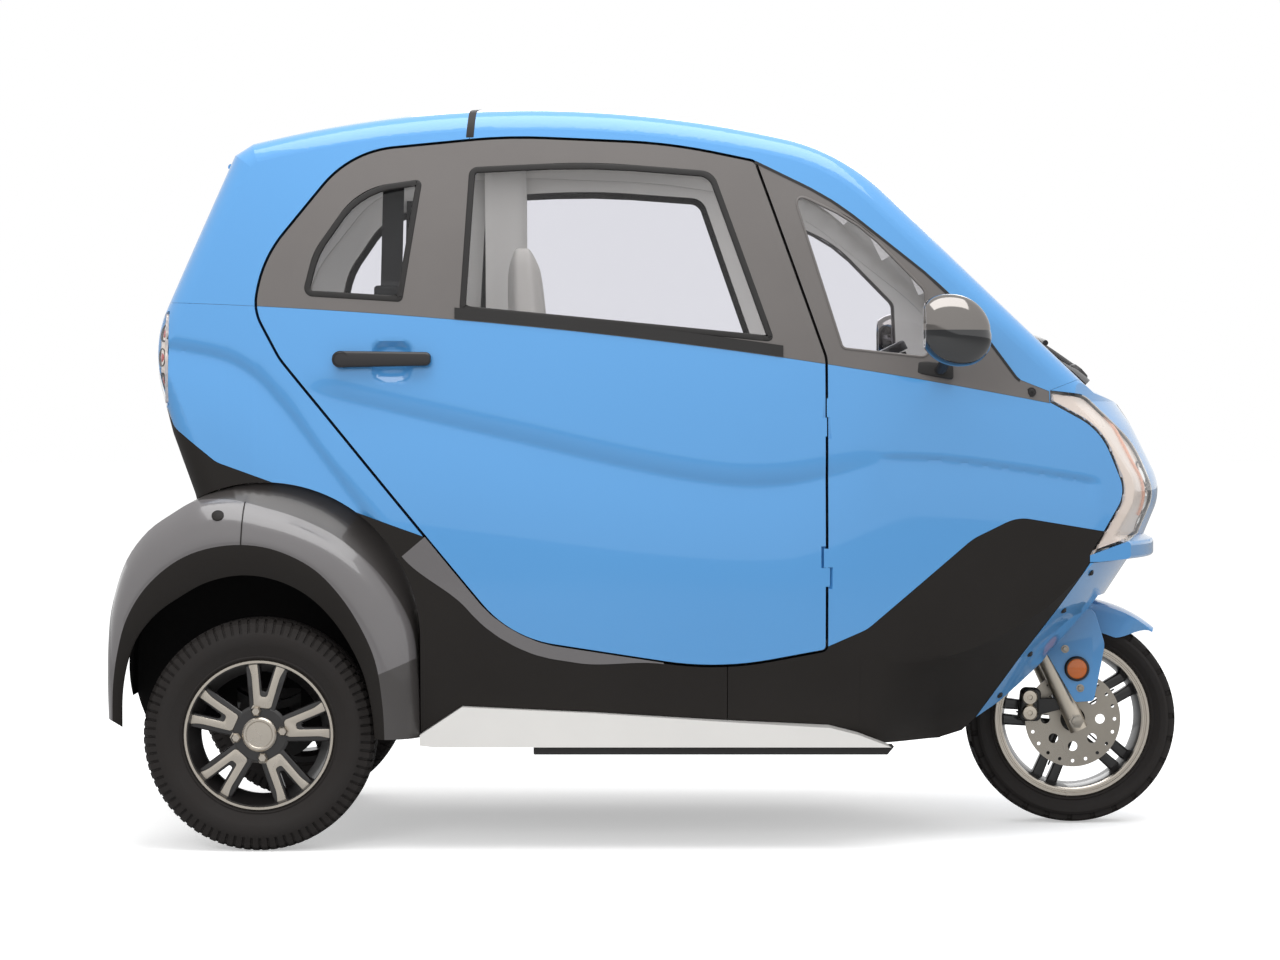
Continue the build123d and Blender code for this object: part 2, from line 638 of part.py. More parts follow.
with BuildPart() as tower:
    for side in (-1, 1):
        add(tube(on_axis(600), (580, side * 238, 740), 14))
        add(tube((580, side * 238, 740), (555, side * 240, FLOOR_Z + FLOOR_T + 6), 14))
        with Locations((580, side * 238, 740)):
            Sphere(14)
    add(slab(530, 580, -262, -218, FLOOR_Z + FLOOR_T, FLOOR_Z + FLOOR_T + 12))
    add(slab(530, 580, 218, 262, FLOOR_Z + FLOOR_T, FLOOR_Z + FLOOR_T + 12))
    add(tube(on_axis(HEAD_LOW), on_axis(HEAD_HIGH), 28))
    add(tube(on_axis(HEAD_LOW - 1), on_axis(HEAD_HIGH + 1), STEM_R + RUN_FIT), mode=Mode.SUBTRACT)
save(tower.part, "steering_head")
BATTERY = (-430, 60, -230, 230, FLOOR_Z + FLOOR_T, 470)
save(slab(*BATTERY), "battery_pack")
with BuildPart() as bases:
    add(slab(-210, 240, -225, 225, 470, 505))
    add(slab(60, 240, -225, 225, FLOOR_Z + FLOOR_T, 470))
    add(slab(-775, -560, -300, 300, REAR_FLOOR_Z + FLOOR_T, 520))
save(bases.part, "seat_bases")
with BuildPart() as cushions:
    with Locations((20, 0, 547), (-578, 0, 562)):
        Box(400, 450, 84)
    fillet(cushions.edges(), radius=30)
save(cushions.part, "seat_cushions")
with BuildPart() as backs:
    with BuildSketch(Plane.XZ):
        outline(((-200, 505, 0), (-215, 900, 400), (-252, 1308, 30), (-360, 1308, 50), (-318, 700, 300),
                 (-310, 470, 0), (-210.2, 470, 0), (-210.2, 505, 0)), 0)
    extrude(amount=190, both=True)
    with BuildSketch(Plane.XZ):
        outline(((-780.5, 410, 0), (-780.5, 600, 0), (-825, 1050, 30), (-915, 1050, 40), (-875, 410, 0)), 0)
    extrude(amount=300, both=True)
save(backs.part, "seat_backs")
with BuildPart() as dash:
    with BuildSketch(Plane.XZ):
        outline(((705, 790, 20), (705, 920, 40), (760, 945, 40), (870, 945, 0), (870, 790, 0)), 0)
    extrude(amount=450, both=True)
    add(inner, mode=Mode.INTERSECT)
save(dash.part, "dashboard")

# Wheel well of the front wheel
with BuildPart() as well:
    with BuildSketch(Plane.XZ):
        outline(((640.6, 262, 0), (600, 560, 60), (600, 712, 20), (1200, 712, 0), (1200, 560, 0),
                 (1020, 548, 0), (890, 436, 0), (742, 312, 0), (690, 285, 0), (680, 262, 0)), 0)
    extrude(amount=WELL_HALF, both=True)
    with BuildSketch(Plane.XZ):
        outline(((640.6 + WELL_T, 200, 0), (640.6 + WELL_T, 262, 0), (600 + WELL_T, 560, 60),
                 (600 + WELL_T, 712 - WELL_T, 15), (1300, 712 - WELL_T, 0), (1300, 200, 0)), 0)
    extrude(amount=WELL_HALF - WELL_T, both=True, mode=Mode.SUBTRACT)
    add(inner, mode=Mode.INTERSECT)
    add(tube(on_axis(HEAD_LOW - 100), on_axis(HEAD_HIGH), 28.3), mode=Mode.SUBTRACT)
save(well.part, "front_wheel_well")

# Rear wheel houses
with BuildPart() as house:
    with BuildSketch(Plane.XZ.offset(HOUSE_Y)):
        fender_outline()
        with Locations((ARCH_X, ARCH_Z)):
            Circle(ARCH_R + 8, mode=Mode.INTERSECT)
    extrude(amount=FENDER_IN - HOUSE_Y - 0.3)
    with BuildSketch(Plane.XZ.offset(HOUSE_Y + WELL_T)):
        arch_outline(ARCH_R)
    extrude(amount=FENDER_IN - HOUSE_Y, mode=Mode.SUBTRACT)
    add(slab(REAR_AXLE_X - 70, REAR_AXLE_X + 70, -330, -310, 0, 330), mode=Mode.SUBTRACT)
save(pair(house.part), "wheel_houses")

# Rear axle with its motor, and the springs
AXLE_R = 32.0
STUB_R = 17.0
HUB_FACE = REAR_TRACK_HALF - 52.0
with BuildPart() as axle:
    add(tube((REAR_AXLE_X, -HUB_FACE + 30, REAR_TYRE_R), (REAR_AXLE_X, HUB_FACE - 30, REAR_TYRE_R), AXLE_R))
    add(tube((REAR_AXLE_X, -REAR_TRACK_HALF - 20, REAR_TYRE_R),
             (REAR_AXLE_X, REAR_TRACK_HALF + 20, REAR_TYRE_R), STUB_R))
    add(tube((REAR_AXLE_X, -125, REAR_TYRE_R), (REAR_AXLE_X, 125, REAR_TYRE_R), 92))
    add(slab(REAR_AXLE_X, REAR_AXLE_X + 170, -70, 90, REAR_TYRE_R - 60, REAR_TYRE_R + 60))
save(axle.part, "rear_axle")
SPRING_T = 18.0
SPRING_HALF = 108.0
with BuildPart() as springs:
    with BuildSketch(Plane.XZ.offset(RAIL_Y - 25)):
        with BuildLine():
            eye = REAR_FLOOR_Z - RAIL_H
            seat = REAR_TYRE_R + AXLE_R + 0.2
            front, back = REAR_AXLE_X + SPRING_HALF, REAR_AXLE_X - SPRING_HALF
            low = ThreePointArc((back, eye - SPRING_T), (REAR_AXLE_X, seat), (front, eye - SPRING_T))
            high = ThreePointArc((back, eye), (REAR_AXLE_X, seat + SPRING_T), (front, eye))
            Line(low @ 0, high @ 0)
            Line(low @ 1, high @ 1)
        make_face()
    extrude(amount=50)
save(pair(springs.part), "rear_springs")
# Towing eye: a bracket under the rear cross member with an upright hole behind it
EYE_R = 12.0
EYE_T = 12.0
EYE_X = -1015.0
EYE_Z = 300.0
EYE_HALF = 27.0
with BuildPart() as eye_plate:
    add(slab(CROSS_BACK, CROSS_BACK + EYE_T, -EYE_HALF, EYE_HALF, EYE_Z, REAR_FLOOR_Z - RAIL_H))
    with BuildSketch(Plane.XY.offset(EYE_Z)):
        with Locations((EYE_X, 0)):
            Circle(EYE_HALF)
        with Locations(((EYE_X + CROSS_BACK + EYE_T) / 2, 0)):
            Rectangle(CROSS_BACK + EYE_T - EYE_X, 2 * EYE_HALF)
        with Locations((EYE_X, 0)):
            Circle(EYE_R, mode=Mode.SUBTRACT)
    extrude(amount=EYE_T)
save(eye_plate.part, "tow_eye")


# Wheels
def lathe(points, x, z):
    """Turn an outline of (radius, y) about a wheel's own axis; lines, with arcs given as triples."""
    with BuildPart() as turned:
        with BuildSketch(Plane((x, 0, z), x_dir=(0, 0, 1), z_dir=(-1, 0, 0))):
            with BuildLine():
                FilletPolyline(*[(r, y) for r, y, _ in points], radius=[c for _, _, c in points], close=True)
            make_face()
        revolve(axis=Axis((x, 0, z), (0, 1, 0)))
    return turned.part


def tyre(x, y, radius, width, lip, rim_width, crown):
    """Tyre as one ring with rounded shoulders, seated between the lips of its rim."""
    half = width / 2
    seat = rim_width / 2 - LIP_T - 0.3
    waist = (lip + radius) / 2
    right = (
        (lip - LIP_H, y - seat, 0), (lip + 3, y - seat, 3), (waist, y - half, (radius - lip) * 0.13),
        (radius - crown, y - half + 4, crown), (radius, y - half + crown + 8, crown),
    )
    left = [(r, 2 * y - across, c) for r, across, c in reversed(right)]
    return lathe((*right, *left), x, radius)


LIP_T = 10.0
LIP_H = 12.0
SPOKES = 5


def rim(x, z, y, out, lip, width, hub_r, bore, hub_half, face):
    """Cast rim: barrel with lips, hub and five forked spokes; the show side is at y - out."""
    half = width / 2
    right = (
        (lip - LIP_H, y - half + LIP_T, 0), (lip - 2, y - half + LIP_T, 3), (lip, y - half + 2, 2),
        (lip - 6, y - half, 2), (lip - 17, y - half + 2, 4), (lip - 24, y - half + 22, 8), (lip - 30, y - 4, 20),
    )
    left = [(r, 2 * y - across, c) for r, across, c in reversed(right)]
    barrel_part = lathe((*right, *left), x, z)
    with BuildPart() as wheel:
        add(barrel_part)
        with BuildSketch(Plane((x, y + face, z), x_dir=(1, 0, 0), z_dir=(0, -1, 0))):
            Circle(hub_r)
            with PolarLocations(0, SPOKES, start_angle=12):
                with BuildLine():
                    Polyline((hub_r - 12, -24), (lip - 22, -34), (lip - 22, -13), (hub_r + 18, -8),
                             (hub_r + 18, 8), (lip - 22, 13), (lip - 22, 34), (hub_r - 12, 24), close=True)
                make_face()
        extrude(amount=out)
        add(tube((x, y - hub_half, z), (x, y + hub_half, z), hub_r - 18))
        add(tube((x, y - 300, z), (x, y + 300, z), bore), mode=Mode.SUBTRACT)
    return wheel.part


rear_rim = rim(REAR_AXLE_X, REAR_TYRE_R, -REAR_TRACK_HALF, 20.0, REAR_RIM_R, REAR_RIM_W, 72.0,
               STUB_R + RUN_FIT, 50.0, -28.0)
rear_tyre = tyre(REAR_AXLE_X, -REAR_TRACK_HALF, REAR_TYRE_R, REAR_TYRE_W, REAR_RIM_R, REAR_RIM_W, 16.0)
for side, flip in (("right", False), ("left", True)):
    save(mirror_y(rear_rim) if flip else rear_rim, f"rear_{side}_rim")
    save(mirror_y(rear_tyre) if flip else rear_tyre, f"rear_{side}_tyre")
AXLE_PIN = 9.0
save(rim(FRONT_AXLE_X, FRONT_TYRE_R, 0.0, 18.0, FRONT_RIM_R, FRONT_RIM_W, 52.0, AXLE_PIN + RUN_FIT, 54.0, -14.0),
     "front_rim")
save(tyre(FRONT_AXLE_X, 0.0, FRONT_TYRE_R, FRONT_TYRE_W, FRONT_RIM_R, FRONT_RIM_W, 18.0), "front_tyre")
DISC_R = 108.0
DISC_Y = -58.0
with BuildPart() as disc:
    with BuildSketch(Plane((FRONT_AXLE_X, DISC_Y + 4, FRONT_TYRE_R), x_dir=(1, 0, 0), z_dir=(0, -1, 0))):
        Circle(DISC_R)
        Circle(28, mode=Mode.SUBTRACT)
        with PolarLocations(62, 8):
            Circle(11, mode=Mode.SUBTRACT)
        with PolarLocations(95, 20):
            Circle(4, mode=Mode.SUBTRACT)
    extrude(amount=4)
save(disc.part, "front_disc")

# Fork, bars, guard and caliper
with BuildPart() as fork:
    for side in (-1, 1):
        add(tube(on_leg(-22, side * FORK_HALF), on_leg(210, side * FORK_HALF), 21))
        add(tube(on_leg(205, side * FORK_HALF), on_leg(470, side * FORK_HALF), 16))
    crown_plane = Plane(on_axis(440), x_dir=(math.cos(RAKE), 0, math.sin(RAKE)), z_dir=AXIS_UP)
    with BuildSketch(crown_plane):
        with Locations((FORK_OFFSET / 2, 0)):
            Rectangle(80, 2 * FORK_HALF + 44)
        fillet(vertices(), radius=20)
    extrude(amount=32)
    add(tube(on_axis(445), on_axis(880), STEM_R))
    add(tube((FRONT_AXLE_X, -FORK_HALF - 24, FRONT_TYRE_R), (FRONT_AXLE_X, FORK_HALF + 24, FRONT_TYRE_R), AXLE_PIN))
save(fork.part, "fork")
BAR = on_axis(880)
BAR_R, GRIP_R, KNOB_R = 12.0, 17.0, 15.0
BAR_Z = BAR[2] + 18.0
BEND = (BAR[0] - 20.0, 92.0, BAR_Z)
GRIP = (BAR[0] - 44.0, 200.0, BAR_Z)
BAR_END = (BAR[0] - 68.0, 308.0, BAR_Z)
with BuildPart() as bars:
    add(tube((BEND[0], -BEND[1], BAR_Z), BEND, BAR_R))
    for side in (-1, 1):
        bend, grip, end = [(x, side * y, z) for x, y, z in (BEND, GRIP, BAR_END)]
        add(tube(bend, grip, BAR_R))
        add(tube(grip, end, GRIP_R))
        with Locations(bend):
            Sphere(KNOB_R)
    bar_plane = Plane(BAR, x_dir=(math.cos(RAKE), 0, math.sin(RAKE)), z_dir=AXIS_UP)
    with BuildSketch(bar_plane):
        Rectangle(70, 130)
    extrude(amount=36)
save(bars.part, "handlebar")
GUARD_R = FRONT_TYRE_R + 24.0
with BuildPart() as guard:
    with BuildSketch(Plane((FRONT_AXLE_X, 0, FRONT_TYRE_R), x_dir=(1, 0, 0), z_dir=(0, -1, 0))):
        with BuildLine():
            inner_arc = CenterArc((0, 0), GUARD_R, 42, 78)
            outer_arc = CenterArc((0, 0), GUARD_R + 6, 42, 78)
            Line(inner_arc @ 0, outer_arc @ 0)
            Line(inner_arc @ 1, outer_arc @ 1)
        make_face()
    extrude(amount=72, both=True)
    for side in (-1, 1):
        with BuildSketch(Plane.XZ.offset(-side * (FORK_HALF + 21.2))):
            outline(((870, 392, 0), (905, 500, 0), (975, 500, 0), (1003, 410, 20), (978, 283, 8), (936, 280, 8)), 0)
        extrude(amount=-side * 6)
        add(slab(880, 975, min(side * 70, side * (FORK_HALF + 24)), max(side * 70, side * (FORK_HALF + 24)), 492, 499))
save(guard.part, "front_mudguard")
with BuildPart() as caliper:
    add(slab(812, 866, -FORK_HALF - 12, DISC_Y - 6, 236, 312))
    add(slab(860, 915, -FORK_HALF - 8, -FORK_HALF + 8, 256, 300))
    add(tube(on_leg(-22, -FORK_HALF), on_leg(210, -FORK_HALF), 21.2), mode=Mode.SUBTRACT)
save(caliper.part, "front_caliper")
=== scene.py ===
"""Looks of a three-wheeled cabin scooter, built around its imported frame.

Shapes are worked out in millimetres in the frame's own axes (+X forward, +Y left, +Z up) and
scaled to metres when a piece is finished. Right-hand shapes lie at negative Y.
"""
import json
import logging
import math
from dataclasses import dataclass
from enum import Enum
from itertools import accumulate
from typing import Callable, Sequence

import bmesh
import bpy
from mathutils import Matrix, Vector
from mathutils.bvhtree import BVHTree

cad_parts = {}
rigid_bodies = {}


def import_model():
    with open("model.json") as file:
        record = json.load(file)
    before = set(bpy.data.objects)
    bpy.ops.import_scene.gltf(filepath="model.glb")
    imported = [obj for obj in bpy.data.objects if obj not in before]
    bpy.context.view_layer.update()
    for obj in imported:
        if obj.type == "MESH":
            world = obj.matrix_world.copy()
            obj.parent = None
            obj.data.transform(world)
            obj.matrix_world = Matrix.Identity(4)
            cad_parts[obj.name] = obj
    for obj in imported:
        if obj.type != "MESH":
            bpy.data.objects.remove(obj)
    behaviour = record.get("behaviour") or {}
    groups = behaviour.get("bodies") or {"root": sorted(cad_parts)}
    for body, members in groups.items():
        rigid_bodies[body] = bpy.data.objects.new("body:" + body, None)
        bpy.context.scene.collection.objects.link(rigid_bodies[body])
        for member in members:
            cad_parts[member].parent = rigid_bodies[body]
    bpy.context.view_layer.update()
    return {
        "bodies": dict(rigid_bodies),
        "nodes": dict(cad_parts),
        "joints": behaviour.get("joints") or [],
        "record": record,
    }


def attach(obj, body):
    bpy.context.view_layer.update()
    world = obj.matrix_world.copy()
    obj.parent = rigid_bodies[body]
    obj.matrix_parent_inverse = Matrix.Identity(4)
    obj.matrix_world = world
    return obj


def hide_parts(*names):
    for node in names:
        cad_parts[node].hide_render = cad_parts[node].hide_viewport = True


LOG = logging.getLogger("cabin_scooter")
MM = 0.001
RIGHT, LEFT = -1, 1
SIDES = (("right", RIGHT), ("left", LEFT))
# Values between which nearly all of a noise texture lies
NOISE_LOW, NOISE_HIGH = 0.3, 0.7
# Turn of a rounded corner that gets one edge of its own
CORNER_STEP_DEG = 9.0
# Where rays towards the body start: beside it, ahead of it and behind it
BESIDE, AHEAD, BEHIND = -900.0, 2000.0, -2000.0

BMesh = bmesh.types.BMesh
Corner = tuple[float, float, float]
Point = tuple[float, float]


# Finishes


class Texture(Enum):
    """How a surface was made, which sets its fine relief."""

    SMOOTH = "smooth"
    PEEL = "orange peel of sprayed paint"
    GRAIN = "moulded leather grain"
    TURNED = "rings left by a lathe"
    BRUSHED = "brushed along one way"
    PRISM = "moulded prisms of a lens"


def linear(code: str) -> tuple[float, float, float, float]:
    """Turn an sRGB hex colour into linear RGBA.

    Args:
        code: colour such as "#64A8DE".

    Returns:
        Red, green, blue and alpha as linear numbers.
    """
    parts = [int(code[i:i + 2], 16) / 255 for i in (1, 3, 5)]
    red, green, blue = [c / 12.92 if c <= 0.04045 else ((c + 0.055) / 1.055) ** 2.4 for c in parts]
    return red, green, blue, 1.0


def add_node(tree: bpy.types.NodeTree, kind: str, links: dict | None = None, inputs: dict | None = None,
             **settings: object) -> bpy.types.Node:
    """Add one node with its settings, input values and links.

    Args:
        tree: node tree that gets the node.
        kind: Blender's name of the node type.
        links: input name or number to the output socket that feeds it.
        inputs: input name or number to a fixed value.
        settings: attributes of the node itself.

    Returns:
        The new node.
    """
    node = tree.nodes.new(kind)
    for key, value in settings.items():
        setattr(node, key, value)
    for key, value in (inputs or {}).items():
        node.inputs[key].default_value = value
    for key, source in (links or {}).items():
        tree.links.new(source, node.inputs[key])
    return node


@dataclass(frozen=True)
class Finish:
    """One surface finish: what the material is and how it was made."""

    name: str
    colour: str
    shade: str
    rough: float
    metallic: float = 0.0
    coat: float = 0.0
    coat_rough: float = 0.04
    texture: Texture = Texture.SMOOTH
    grain_mm: float = 1.0
    relief_mm: float = 0.0
    drift_mm: float = 160.0
    rough_span: float = 0.05
    ior: float = 1.5
    glow: float = 0.0
    thin: bool = False

    def material(self) -> bpy.types.Material:
        """Build the node material of this finish.

        Returns:
            A material with slow colour drift, uneven gloss and fine relief.
        """
        made = bpy.data.materials.new(self.name)
        made.use_nodes = True
        tree = made.node_tree
        tree.nodes.clear()
        if self.thin:
            self.pane(tree)
            return made
        fixed = {"Metallic": self.metallic, "IOR": self.ior, "Coat Weight": self.coat,
                 "Coat Roughness": self.coat_rough, "Roughness": self.rough}
        # An emission on a finish that is no lamp is painted glow.
        if self.glow:
            fixed["Emission Color"] = linear(self.colour)
            fixed["Emission Strength"] = self.glow
        shader = add_node(tree, "ShaderNodeBsdfPrincipled", inputs=fixed)
        add_node(tree, "ShaderNodeOutputMaterial", links={"Surface": shader.outputs["BSDF"]})
        place = add_node(tree, "ShaderNodeTexCoord").outputs["Object"]
        drift = add_node(tree, "ShaderNodeTexNoise", links={"Vector": place},
                         inputs={"Scale": 1 / (self.drift_mm * MM), "Detail": 3.0}).outputs["Fac"]
        blend = add_node(tree, "ShaderNodeMix", data_type="RGBA", links={0: drift},
                         inputs={6: linear(self.colour), 7: linear(self.shade)})
        tree.links.new(blend.outputs[2], shader.inputs["Base Color"])
        span = add_node(tree, "ShaderNodeMapRange", links={"Value": drift},
                        inputs={"From Min": NOISE_LOW, "From Max": NOISE_HIGH,
                                "To Min": self.rough - self.rough_span,
                                "To Max": self.rough + self.rough_span})
        tree.links.new(span.outputs["Result"], shader.inputs["Roughness"])
        if self.relief_mm:
            bump = add_node(tree, "ShaderNodeBump", links={"Height": self.relief(tree, place)},
                            inputs={"Strength": 1.0, "Distance": self.relief_mm * MM})
            tree.links.new(bump.outputs["Normal"], shader.inputs["Normal"])
        return made

    def pane(self, tree: bpy.types.NodeTree) -> None:
        """Add the shader of a thin clear sheet, which lets light through and mirrors at its outer skin.

        Args:
            tree: node tree of the material.
        """
        through = add_node(tree, "ShaderNodeBsdfTransparent", inputs={"Color": linear(self.colour)})
        mirror = add_node(tree, "ShaderNodeBsdfGlossy",
                          inputs={"Color": linear(self.shade), "Roughness": self.rough})
        skin = add_node(tree, "ShaderNodeFresnel", inputs={"IOR": self.ior})
        side = add_node(tree, "ShaderNodeNewGeometry")
        front = add_node(tree, "ShaderNodeMath", operation="SUBTRACT", inputs={0: 1.0},
                         links={1: side.outputs["Backfacing"]})
        share = add_node(tree, "ShaderNodeMath", operation="MULTIPLY",
                         links={0: skin.outputs[0], 1: front.outputs[0]})
        both = add_node(tree, "ShaderNodeMixShader",
                        links={0: share.outputs[0], 1: through.outputs[0], 2: mirror.outputs[0]})
        add_node(tree, "ShaderNodeOutputMaterial", links={"Surface": both.outputs[0]})

    def relief(self, tree: bpy.types.NodeTree, place: bpy.types.NodeSocket) -> bpy.types.NodeSocket:
        """Add the height pattern that belongs to the way the surface was made.

        Args:
            tree: node tree of the material.
            place: socket with object coordinates.

        Returns:
            Socket with the height.
        """
        scale = 1 / (self.grain_mm * MM)
        if self.texture is Texture.GRAIN:
            return add_node(tree, "ShaderNodeTexVoronoi", links={"Vector": place},
                            inputs={"Scale": scale}).outputs["Distance"]
        if self.texture is Texture.PRISM:
            return add_node(tree, "ShaderNodeTexVoronoi", distance="CHEBYCHEV", links={"Vector": place},
                            inputs={"Scale": scale, "Randomness": 0.0}).outputs["Distance"]
        if self.texture is Texture.BRUSHED:
            drawn = add_node(tree, "ShaderNodeMapping", links={"Vector": place},
                             inputs={"Scale": (0.05, 1.0, 1.0)}).outputs["Vector"]
            return add_node(tree, "ShaderNodeTexNoise", links={"Vector": drawn},
                            inputs={"Scale": scale, "Detail": 2.0}).outputs["Fac"]
        if self.texture is Texture.TURNED:
            return add_node(tree, "ShaderNodeTexWave", wave_type="RINGS", rings_direction="Y",
                            links={"Vector": place}, inputs={"Scale": scale}).outputs["Fac"]
        return add_node(tree, "ShaderNodeTexNoise", links={"Vector": place},
                        inputs={"Scale": scale, "Detail": 1.0}).outputs["Fac"]


# Fine grains, turned rings and weaves are drawn coarser than the real ones, so that they show in the render.

# Sprayed two-layer paint: even colour under a hard clear coat with a faint orange peel.
PAINT = Finish("sprayed_blue_paint", "#5099D6", "#4C94D1", 0.38, coat=1.0, texture=Texture.PEEL,
               grain_mm=9.0, relief_mm=0.012, drift_mm=600, rough_span=0.03)
# Moulded ABS with a fine grain: soft, wide highlights.
FRAME_GREY = Finish("grained_grey_abs", "#6C6866", "#64605E", 0.5, texture=Texture.GRAIN, grain_mm=1.6,
                    relief_mm=0.05)
# Polypropylene cladding, grained in the mould: dark and nearly matt.
CLADDING = Finish("grained_black_polypropylene", "#221F1D", "#1E1B19", 0.55, ior=1.3, texture=Texture.GRAIN,
                  grain_mm=1.8, relief_mm=0.08)
# Polypropylene of the fenders' roots and feet, finely grained: darker grey with a soft sheen; on the lower
# front feet the darker tone is painted shade.
SATIN_PAINTED_SHADE = Finish("satin_grey_polypropylene_painted_shade", "#413E3D", "#3B3837", 0.36, coat=0.3, texture=Texture.GRAIN,
               grain_mm=2.4, relief_mm=0.03)
# Polished grey ABS: dark with a clear mirror of the light above.
GLOSS_GREY = Finish("polished_grey_abs", "#686566", "#615E5F", 0.22, coat=0.7, texture=Texture.PEEL,
                    grain_mm=14.0, relief_mm=0.01, rough_span=0.04)
# Polished black ABS of the mirrors' lower halves: the housing's own deep black, kept darker than the upper
# halves as a painted reflection of the ground.
GLOSS_BLACK_GROUND_REFLECTION = Finish("polished_black_abs_ground_reflection", "#15171A", "#121416", 0.08, coat=1.0)
# Silver-white lacquer on pressed aluminium: bright and even, with a soft gloss.
SKIRT = Finish("lacquered_aluminium_skirt", "#E8E6E2", "#DDDBD8", 0.35, metallic=0.1, coat=0.5,
               texture=Texture.PEEL, grain_mm=6.0, relief_mm=0.01)
# Float glass with a slight grey tint: clear, and a mirror where it is seen at a glance.
GLASS = Finish("tinted_float_glass", "#F6F6F8", "#FFFFFF", 0.0, ior=1.4, thin=True)
# Polycarbonate of the lamp covers: clear as water.
CLEAR = Finish("clear_polycarbonate", "#FFFFFF", "#FFFFFF", 0.02, ior=1.42, thin=True)
# EPDM rubber of seals and grips: matt and nearly black.
RUBBER = Finish("epdm_rubber", "#1C1B1B", "#232120", 0.68, texture=Texture.PEEL, grain_mm=2.0, relief_mm=0.05)
# Carbon-black tyre rubber, a little dusty: matt, with paler patches.
TYRE = Finish("tyre_rubber", "#1E1B1A", "#272321", 0.72, ior=1.4, texture=Texture.PEEL, grain_mm=3.0,
              relief_mm=0.12, drift_mm=60)
# Cast aluminium cut on a lathe: bright with fine rings.
MACHINED = Finish("turned_aluminium", "#C6BFB4", "#B8B0A5", 0.28, metallic=1.0, texture=Texture.TURNED,
                  grain_mm=1.2, relief_mm=0.02)
# Black lacquer sprayed on the cast wheels: deep black with a soft gloss.
WHEEL_BLACK = Finish("black_wheel_lacquer", "#151313", "#1B1919", 0.34, coat=0.5, texture=Texture.PEEL,
                     grain_mm=5.0, relief_mm=0.02)
# Anodised aluminium tube, drawn lengthwise: pale metal with fine streaks.
ANODISED = Finish("anodised_aluminium", "#CDC4B6", "#BDB4A6", 0.36, metallic=1.0, texture=Texture.BRUSHED,
                  grain_mm=1.5, relief_mm=0.02)
# Ground stainless steel of the disc and the nuts: grey metal with the rings of the grinder.
STEEL = Finish("ground_stainless_steel", "#A8A298", "#938D84", 0.3, metallic=1.0, texture=Texture.TURNED,
               grain_mm=0.9, relief_mm=0.03)
# Powder-coated steel under the floor: black with a pebbled skin.
CHASSIS = Finish("black_powder_coat", "#1E1D1D", "#282625", 0.52, texture=Texture.PEEL, grain_mm=2.5,
                 relief_mm=0.08)
# Black moulded plastic with a satin skin: a wide, weak highlight.
DARK = Finish("satin_black_plastic", "#232122", "#1D1B1C", 0.42, texture=Texture.GRAIN, grain_mm=1.2,
              relief_mm=0.04)
# Smoked chrome on the mirrors' upper halves, paler than the lower halves of the same housing: a painted
# reflection of the sky.
SKY_REFLECTION_SMOKED = Finish("smoked_chrome_painted_sky_reflection", "#86827F", "#7D7976", 0.1, metallic=0.9, texture=Texture.PEEL,
                grain_mm=10.0, relief_mm=0.006, rough_span=0.02)
# Vapour-metallised plastic behind the lamp covers, with a glitter of moulded prisms: drawn mostly diffuse in
# a pale pinkish colour, a painted reflection in place of its mirror shine.
REFLECTOR_PAINTED_REFLECTION = Finish("metallised_reflector_painted_reflection", "#E6D8CE", "#D8CABF", 0.3, metallic=0.2, coat=0.6,
                   texture=Texture.PRISM, grain_mm=14.0, relief_mm=0.5)
# Silvered glass: a nearly perfect mirror.
SILVERED = Finish("silvered_mirror_glass", "#F0F2F2", "#EDEFEF", 0.03, metallic=1.0, rough_span=0.01)
# Tinted light guide of the indicators, unlit: a milky, pale orange.
GUIDE = Finish("tinted_light_guide", "#E2AC94", "#D79F87", 0.3, coat=0.5)
# Amber acrylic with moulded prisms, with a faint emission though it is no lamp: painted glow.
AMBER_PAINTED_GLOW = Finish("amber_prism_lens_painted_glow", "#D0690C", "#B85807", 0.18, coat=0.8, texture=Texture.PRISM, grain_mm=5.0,
               relief_mm=0.6, glow=0.08)
# Red acrylic with moulded prisms: deep red that glitters.
RED = Finish("red_prism_lens", "#B01712", "#980F0C", 0.18, coat=0.8, texture=Texture.PRISM, grain_mm=6.0,
             relief_mm=0.6)
# Coated vinyl with a leather grain: grey, with soft highlights on the padding.
VINYL = Finish("grained_grey_vinyl", "#B4B1AC", "#A8A5A0", 0.55, texture=Texture.GRAIN, grain_mm=3.0,
               relief_mm=0.2)
# Moulded polypropylene of the cabin's linings: pale grey and matt.
TRIM = Finish("light_grey_trim", "#DAD8D4", "#D2D0CC", 0.62, texture=Texture.GRAIN, grain_mm=2.0,
              relief_mm=0.1)
# Woven polyester webbing: black and dull, with fine ribs.
WEBBING = Finish("woven_belt_webbing", "#232323", "#2B2B2B", 0.75, texture=Texture.BRUSHED, grain_mm=2.0,
                 relief_mm=0.2)
# Rough polyethylene of the wheel wells: takes up nearly all light.
LINER = Finish("black_liner", "#0B0A0A", "#0F0E0E", 0.7, ior=1.25, texture=Texture.GRAIN, grain_mm=2.5,
               relief_mm=0.1)
# Moulded case of the battery: blue-grey and matt.
BATTERY = Finish("battery_case", "#2E3A44", "#27323B", 0.5, texture=Texture.GRAIN, grain_mm=1.5,
                 relief_mm=0.05)

